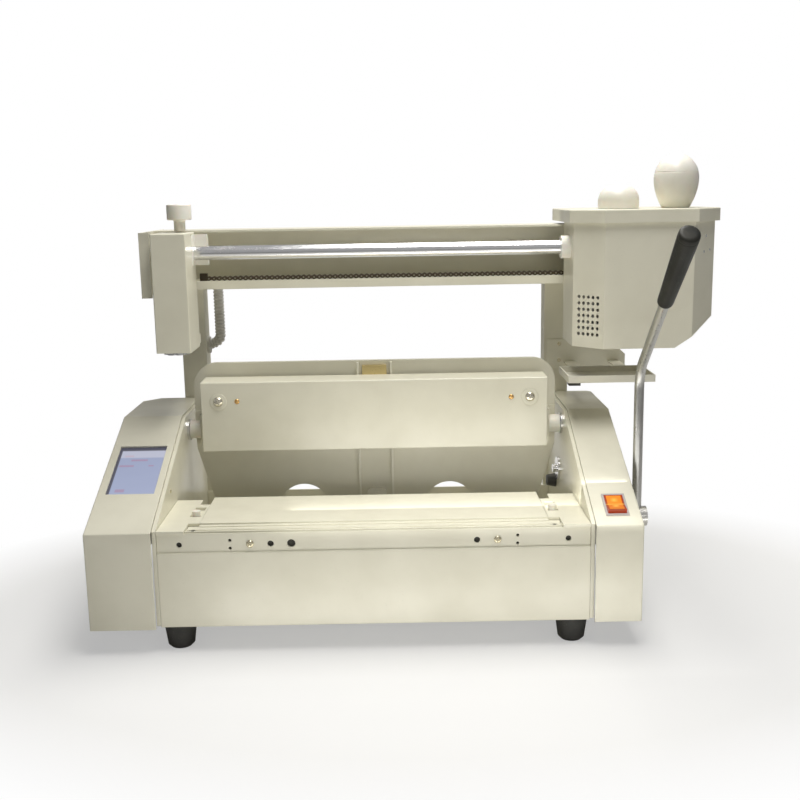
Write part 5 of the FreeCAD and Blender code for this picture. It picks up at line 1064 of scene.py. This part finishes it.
def screws(name, node, slot, washer_slot=None, material=None, head=None):
    """Cross-recess heads in place of a node's plain ones, some on a washer or of a set radius."""
    washer = settings().detail.washer_height
    heads, washers = bmesh.new(), bmesh.new()
    for i, (seat, outward, radius, wide, tall) in enumerate(head_places(node)):
        place = Matrix.Translation(seat) @ facing(outward)
        if washer_slot:
            outline = [(0.0, 0.0), (wide, 0.0), (wide, washer), (0.0, washer)]
            lathe(washers, rounded(outline, washer / 2), place, segments=56)
            place = place @ Matrix.Translation((0, 0, washer))
            tall -= washer
        radius = head or radius
        rise = min(radius, tall / HEAD_RISE)
        sizes = Matrix.Diagonal((radius, radius, rise, 1.0))
        stamp(heads, cross_head(), turned_by(place, FIRST_TURN + NEXT_TURN * i) @ sizes)
    piece(name, heads, BODY_OF[node], slot, (node,), smooth_angle=40.0, material=material)
    if washer_slot:
        piece(name + "_washers", washers, BODY_OF[node], washer_slot)
    else:
        washers.free()


def link_plate(shape, middle, front, back):
    """One waisted link plate, two lobes and the hollow between them."""
    detail = settings().detail
    lobe, waist, half = detail.plate_height / 2, detail.plate_waist / 2, detail.chain_pitch / 2
    steps = 10
    upper = []
    for k in range(steps + 1):
        angle = math.pi - k * math.pi / steps * LOBE_SHARE
        upper.append((-half + lobe * math.cos(angle), lobe * math.sin(angle)))
    upper.append((0.0, waist))
    outline = upper + [(-x, z) for x, z in reversed(upper[:-1])]
    outline += [(x, -z) for x, z in reversed(outline[1:-1])]
    rings = [
        [shape.verts.new(middle + Vector((x, y, z))) for x, z in outline] for y in (front, back)
    ]
    shape.faces.new(rings[0])
    shape.faces.new(list(reversed(rings[1])))
    for k in range(len(outline)):
        following = (k + 1) % len(outline)
        shape.faces.new([rings[0][k], rings[1][k], rings[1][following], rings[0][following]])


def chain():
    """The roller chain on the beam's ledge: plates, rollers and riveted pins."""
    detail = settings().detail
    low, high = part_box("drive_chain")
    pitch = detail.chain_pitch
    links = round((high.x - low.x) / pitch)
    start = Vector(((low.x + high.x) / 2 - (links - 1) * pitch / 2, (low.y + high.y) / 2,
                    (low.z + high.z) / 2))
    plates, pins = bmesh.new(), bmesh.new()
    sheet, half = detail.plate_sheet, detail.chain_inner / 2
    for i in range(links):
        pin = start + Vector((i * pitch, 0, 0))
        if i < links - 1:
            gap = half + (sheet if i % 2 else 0.0)
            middle = pin + Vector((pitch / 2, 0, 0))
            link_plate(plates, middle, -gap - sheet * PLATE_SHARE, -gap)
            link_plate(plates, middle, gap, gap + sheet * PLATE_SHARE)
        along_y = Matrix.Translation(pin) @ facing((0, -1, 0))
        wide = detail.chain_roller
        roller = [(0.0, -half), (wide, -half), (wide, half), (0.0, half)]
        lathe(plates, roller, along_y, segments=20)
        wide, tip = detail.chain_pin, half + 2 * sheet + detail.pin_rise
        rivet = [(0.0, -tip), (wide, -tip), (wide, tip), (0.0, tip)]
        lathe(pins, rounded(rivet, wide / 2, steps=3), along_y, segments=16)
    piece("Chain_links", plates, "frame", "dark_steel", ("drive_chain",))
    piece("Chain_pins", pins, "frame", "dark_steel", material=pin_steel())


def hose_line():
    """Points along the conduit's smooth route."""
    curve = bpy.data.curves.new("Hose_route", "CURVE")
    curve.dimensions = "3D"
    spline = curve.splines.new("NURBS")
    spline.points.add(len(HOSE_ROUTE) - 1)
    for point, place in zip(spline.points, HOSE_ROUTE):
        point.co = (*place, 1.0)
    spline.order_u = 3
    spline.use_endpoint_u = True
    spline.resolution_u = 64
    mesh = kept_result(placed("Hose_route", curve))
    line = [vertex.co.copy() for vertex in mesh.vertices]
    bpy.data.meshes.remove(mesh)
    bpy.data.curves.remove(curve)
    return line


def walk(line, place):
    """The point and direction a distance along a line."""
    for first, second in zip(line, line[1:]):
        step = (second - first).length
        if place <= step or second is line[-1]:
            return first.lerp(second, min(place / step, 1.0)), (second - first).normalized()
        place -= step


def hose():
    """Ribbed conduit: rounded ribs along one smooth line, open at both ends in its glands."""
    detail = settings().detail
    line = hose_line()
    length = sum((b - a).length for a, b in zip(line, line[1:]))
    crest, root = detail.hose_crest, detail.hose_root
    shape = bmesh.new()
    rings, sides, steps = [], 40, 12
    total = detail.hose_ribs * steps
    for i in range(total + 1):
        centre, direction = walk(line, length * i / total)
        rise = max(0.0, math.sin(math.tau * (i / steps - 0.25)) * 0.5 + 0.5)
        radius = root + (crest - root) * min(1.0, rise * CREST_FLATNESS)
        upward = direction.cross(Y_AXIS).normalized()
        rings.append([
            shape.verts.new(centre + (Y_AXIS * math.cos(math.tau * k / sides)
                                      + upward * math.sin(math.tau * k / sides)) * radius)
            for k in range(sides)
        ])
    for low, high in zip(rings, rings[1:]):
        for k in range(sides):
            shape.faces.new([low[k], low[(k + 1) % sides], high[(k + 1) % sides], high[k]])
    for ring in (rings[0], rings[-1]):
        shape.faces.new(ring)
    made = piece("Ribbed_conduit", shape, "frame", "grey_plastic", ("conduit",),
                 smooth_angle=80.0)


def egg():
    """Egg handle: an arc to the belly, half an ellipse above it, and a moulding seam."""
    place, wide, tall = standing("egg_handle")
    detail = settings().detail
    foot, belly = detail.egg_foot, tall * detail.egg_belly_share
    seam, groove = tall * detail.egg_seam_share, detail.egg_seam
    deep = groove * SEAM_DEPTH
    outline = [(0.0, 0.0)]
    steps = 26
    for k in range(steps):
        t = k / steps
        swell = math.sin(t * math.pi / 2) ** EGG_FULLNESS
        outline.append((foot + (wide - foot) * swell, belly * t))
    for k in range(steps + 1):
        angle = k / steps * math.pi / 2
        outline.append((wide * math.cos(angle), belly + (tall - belly) * math.sin(angle)))
    finer = []
    for (r0, z0), (r1, z1) in zip(outline, outline[1:]):
        finer.append((r0, z0))
        if z0 < seam <= z1:
            radius = r0 + (r1 - r0) * (seam - z0) / (z1 - z0)
            finer += [(radius, seam - groove), (radius - deep, seam - groove / SEAM_FLOOR),
                      (radius - deep, seam + groove / SEAM_FLOOR), (radius, seam + groove)]
    finer.append((0.0, tall))
    shape = bmesh.new()
    lathe(shape, finer, place, segments=96)
    piece("Egg_handle", shape, "carriage", "white_plastic", ("egg_handle",), smooth_angle=60.0)


def mill_knob():
    """Turned knob with soft rims and a shallow dish in its top."""
    place, radius, tall = standing("mill_knob")
    detail = settings().detail
    stem, under, dish = detail.knob_stem, tall - detail.knob_height, tall - detail.knob_dish
    outline = rounded([
        (0.0, 0.0), (stem / 2, 0.0), (stem / 2, under * KNOB_STEM), (stem, under * KNOB_STEM),
        (stem, under), (radius, under), (radius, tall), (radius * KNOB_DISH[0], tall),
        (radius * KNOB_DISH[1], dish), (0.0, dish),
    ], detail.knob_round)
    shape = bmesh.new()
    lathe(shape, outline, place, segments=72)
    piece("Mill_knob", shape, "knob", "white_plastic", ("mill_knob",), smooth_angle=50.0)


def grip():
    """Tapered lever grip with faint lengthwise flats, a groove near its end, and that rounded."""
    detail = settings().detail
    foot = from_drawing(*GRIP_LOW)
    along = from_drawing(*GRIP_TOP) - foot
    tall = along.length
    heel = [(detail.grip_low * part, rise / 1000) for part, rise in GRIP_HEEL]
    swell = (detail.grip_top * GRIP_SWELL[0], tall * GRIP_SWELL[1])
    end = [(detail.grip_top * part, tall - drop / 1000) for part, drop in GRIP_END]
    outline = rounded([(0.0, 0.0), *heel, swell, *end, (0.0, tall)], GRIP_ROUND / 1000, steps=4)
    flats = detail.grip_flats
    place = Matrix.Translation(foot) @ facing(along)
    shape = bmesh.new()
    lathe(shape, outline, place, segments=flats * 8)
    upright = place.inverted()
    for vert in shape.verts:
        here = upright @ vert.co
        wave = math.cos(flats * math.atan2(here.y, here.x)) * detail.grip_flat_depth
        if GRIP_PLAIN[0] / 1000 < here.z < tall - GRIP_PLAIN[1] / 1000:
            vert.co += (place.to_3x3() @ Vector((here.x, here.y, 0)).normalized()) * wave
    piece("Lever_grip", shape, BODY_OF["lever_grip"], "black_rubber", ("lever_grip",),
          smooth_angle=40.0, material=grip_plastic())


def hole_shade_pieces():
    """Dark discs behind the band's holes and dark sleeves in the nip bar's bolt holes, as painted
    shade where the holes show only shade.
    """
    detail = settings().detail
    sheet = detail.shade_sheet
    shape = bmesh.new()
    for x, z, radius in BAND_HOLES:
        seat = from_drawing(x, 0.0, z)
        seat.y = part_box("front_band")[1].y + sheet / 2
        wide = radius / 1000 + detail.shade_rim
        outline = [(0.0, 0.0), (wide, 0.0), (wide, sheet), (0.0, sheet)]
        lathe(shape, outline, Matrix.Translation(seat) @ facing(Y_AXIS), segments=32)
    outer, inner, low, floor, tall = (size / 1000 for size in (
        BAR_HOLE_RADIUS - SLEEVE_GAP, SLEEVE_BORE, SLEEVE_LOW, SLEEVE_FLOOR, SLEEVE_TALL))
    sleeve = [(0.0, low), (outer, low), (outer, tall), (inner, tall), (inner, floor), (0.0, floor)]
    for side in (-1, 1):
        seat = from_drawing(side * BAR_HOLE_X, BAR_HOLE_Y, BAR_HOLE_LOW_Z)
        lathe(shape, sleeve, Matrix.Translation(seat), segments=32)
    piece("Tapped_inserts", shape, "frame", "dark_steel", material=painted_hole_shade())


def chamfer_screws():
    """Three small screws on the glue housing's right chamfer."""
    size = Matrix.Scale(settings().detail.tiny_head, 4)
    shape = bmesh.new()
    for i, seat in enumerate(CHAMFER_SCREWS):
        place = Matrix.Translation(from_drawing(*seat)) @ facing((1, -1, 0))
        stamp(shape, cross_head(), turned_by(place, CHAMFER_TURN * i) @ size)
    piece("Chamfer_screws", shape, "carriage", "bright_steel")


def finish_nodes():
    """Gives every CAD node its finish."""
    # The board's ribs take a lighter copy of the coat as a painted highlight.
    own_finishes = {"lever_rod": satin_steel(), "board_ribs": rib_highlight_paint()}
    for node, thing in NODES.items():
        thing.data.materials.clear()
        thing.data.materials.append(own_finishes.get(node) or finish(SLOT_OF[node]))


# Buttons


class BINDER_OT_finishes(Operator):
    """Paint, metal, plastic and rubber finishes on the machine's solids"""

    bl_idname = "binder.finishes"
    bl_label = "Finishes"

    def execute(self, context):
        finish_nodes()
        return {"FINISHED"}


class BINDER_OT_conduit(Operator):
    """Ribbed cable conduit beside the left post"""

    bl_idname = "binder.conduit"
    bl_label = "Conduit"

    def execute(self, context):
        hose()
        return {"FINISHED"}


class BINDER_OT_chain(Operator):
    """Roller chain along the beam's ledge"""

    bl_idname = "binder.chain"
    bl_label = "Chain"

    def execute(self, context):
        chain()
        return {"FINISHED"}


class BINDER_OT_screws(Operator):
    """Screws of the base and of the clamp's jaw, with their washers"""

    bl_idname = "binder.screws"
    bl_label = "Screws"

    def execute(self, context):
        detail = context.scene.binder.detail
        screws("Frame_screws", "frame_screws", "brass", material=zinc_yellow())
        screws("Jaw_screws", "jaw_screws", "chrome_plate", "ivory_paint", nickel(),
               detail.jaw_head_radius)
        screws("Jaw_brass_screws", "jaw_brass_screws", "brass", material=copper(),
               head=detail.brass_head_radius)
        return {"FINISHED"}


class BINDER_OT_handles(Operator):
    """Egg handle, depth knob and lever grip"""

    bl_idname = "binder.handles"
    bl_label = "Handles"

    def execute(self, context):
        egg()
        mill_knob()
        grip()
        return {"FINISHED"}


class BINDER_OT_hole_shades(Operator):
    """Dark discs and sleeves in the holes of the front band and the nip's bar, as painted shade"""

    bl_idname = "binder.inserts"
    bl_label = "Hole_shading"

    def execute(self, context):
        hole_shade_pieces()
        return {"FINISHED"}


class BINDER_OT_housing_screws(Operator):
    """Small screws on the glue housing"""

    bl_idname = "binder.housing_screws"
    bl_label = "Housing screws"

    def execute(self, context):
        chamfer_screws()
        return {"FINISHED"}


class BINDER_OT_stage(Operator):
    """Camera, white surroundings, lamps and table top"""

    bl_idname = "binder.stage"
    bl_label = "Studio"

    def execute(self, context):
        stage = context.scene.binder.stage
        make_camera(stage)
        make_world(stage)
        for name, power, size, place, target in LAMPS:
            make_lamp(name, getattr(stage, power), size, place, target)
        make_floor(stage)
        context.scene.view_settings.view_transform = "Standard"
        return {"FINISHED"}


# Studio


def make_camera(stage):
    """The photograph's camera."""
    forward = Vector((
        math.sin(stage.yaw) * math.cos(stage.pitch),
        math.cos(stage.yaw) * math.cos(stage.pitch), -math.sin(stage.pitch)))
    level = Vector((math.cos(stage.yaw), -math.sin(stage.yaw), 0.0))
    upright = level.cross(forward)
    right = level * math.cos(stage.roll) - upright * math.sin(stage.roll)
    up = level * math.sin(stage.roll) + upright * math.cos(stage.roll)
    lens = bpy.data.cameras.new("Photo_camera")
    lens.lens = stage.lens
    lens.sensor_width = SENSOR_WIDTH
    camera = placed("Photo_camera", lens)
    turn = Matrix((right, up, -forward)).transposed().to_4x4()
    camera.matrix_world = Matrix.Translation(stage.camera_place) @ turn
    bpy.context.scene.camera = camera


def make_world(stage):
    """White surroundings, plain white to the camera, dimmer in reflections and as light."""
    world = bpy.data.worlds.new("Studio")
    world.use_nodes = True
    tree = world.node_tree
    back = tree.nodes["Background"]
    wires = Wiring(tree)
    path = wires.node("LightPath").outputs
    mirrored = wires.times(path["Is Glossy Ray"], stage.mirror_share)
    bright = wires.highest(path["Is Camera Ray"], path["Is Transmission Ray"], mirrored,
                           stage.sky_power)
    back.inputs["Color"].default_value = (1.0, 1.0, 1.0, 1.0)
    wires.feed(back.inputs["Strength"], bright)
    bpy.context.scene.world = world


def make_lamp(name, power, size, place, target):
    """An area lamp that looks at a point."""
    light = bpy.data.lights.new(name, "AREA")
    light.shape = "RECTANGLE"
    light.size, light.size_y = size
    light.energy = power
    light.color = LAMP_COLOUR
    lamp = placed(name, light)
    lamp.location = place
    lamp.visible_camera = False
    lamp.rotation_mode = "QUATERNION"
    lamp.rotation_quaternion = (Vector(target) - Vector(place)).to_track_quat("-Z", "Y")


def make_floor(stage):
    """Pale table top that turns into plain white away from the machine."""
    shape = bmesh.new()
    bmesh.ops.create_grid(shape, x_segments=8, y_segments=8, size=stage.floor_half)
    mesh = mesh_from("Floor", shape)
    floor = placed("Floor", mesh)
    material, skin, wires = new_finish("White table")
    skin["Base Color"].default_value = rgba(stage.table)
    skin["Roughness"].default_value = stage.table_roughness
    skin["Specular IOR Level"].default_value = stage.table_gloss
    glow = wires.node("Emission")
    glow.inputs["Strength"].default_value = 1.0
    squeezed = wires.vector("MULTIPLY", wires.place(), (1.0, stage.fade_squeeze, 1.0))
    away = wires.vector("DISTANCE", squeezed)
    far = wires.span(away, stage.floor_fade * stage.fade_start, stage.floor_fade)
    path = wires.node("LightPath").outputs
    looked = wires.highest(path["Is Camera Ray"], path["Is Transmission Ray"])
    mixer = wires.node("MixShader")
    wires.feed(mixer.inputs[0], wires.times(wires.highest(far, stage.fade_least), looked))
    wires.feed(mixer.inputs[1], wires.tree.nodes["Principled BSDF"].outputs[0])
    wires.feed(mixer.inputs[2], glow.outputs[0])
    wires.feed(wires.tree.nodes["Material Output"].inputs["Surface"], mixer.outputs[0])
    mesh.materials.append(material)


class BINDER_PT_panel(Panel):
    """Buttons that dress the binding machine"""

    bl_idname = "BINDER_PT_panel"
    bl_label = "Thermal binding machine"
    bl_space_type = "VIEW_3D"
    bl_region_type = "UI"
    bl_category = "Binder"

    def draw(self, context):
        layout = self.layout
        for operator in OPERATORS:
            layout.operator(operator.bl_idname)
        for word in ("paint", "metal", "plastic", "detail", "stage"):
            box = layout.box()
            box.label(text=word.capitalize())
            part = getattr(context.scene.binder, word)
            for setting in part.bl_rna.properties:
                if not setting.is_readonly and setting.identifier != "name":
                    box.prop(part, setting.identifier)


OPERATORS = (BINDER_OT_finishes, BINDER_OT_conduit, BINDER_OT_chain, BINDER_OT_screws,
             BINDER_OT_handles, BINDER_OT_hole_shades, BINDER_OT_housing_screws, BINDER_OT_stage)
CLASSES = (BinderPaint, BinderMetal, BinderPlastic, BinderDetail, BinderStage, BinderSettings,
           *OPERATORS, BINDER_PT_panel)


def register():
    """Adds the settings, buttons and panel."""
    for kind in CLASSES:
        bpy.utils.register_class(kind)
    bpy.types.Scene.binder = PointerProperty(type=BinderSettings)


def unregister():
    """Takes them out again."""
    del bpy.types.Scene.binder
    for kind in reversed(CLASSES):
        bpy.utils.unregister_class(kind)


def main():
    register()
    bpy.ops.binder.finishes()
    bpy.ops.binder.conduit()
    bpy.ops.binder.chain()
    bpy.ops.binder.screws()
    bpy.ops.binder.handles()
    bpy.ops.binder.inserts()
    bpy.ops.binder.housing_screws()
    bpy.ops.binder.stage()


if __name__ == "__main__":
    main()
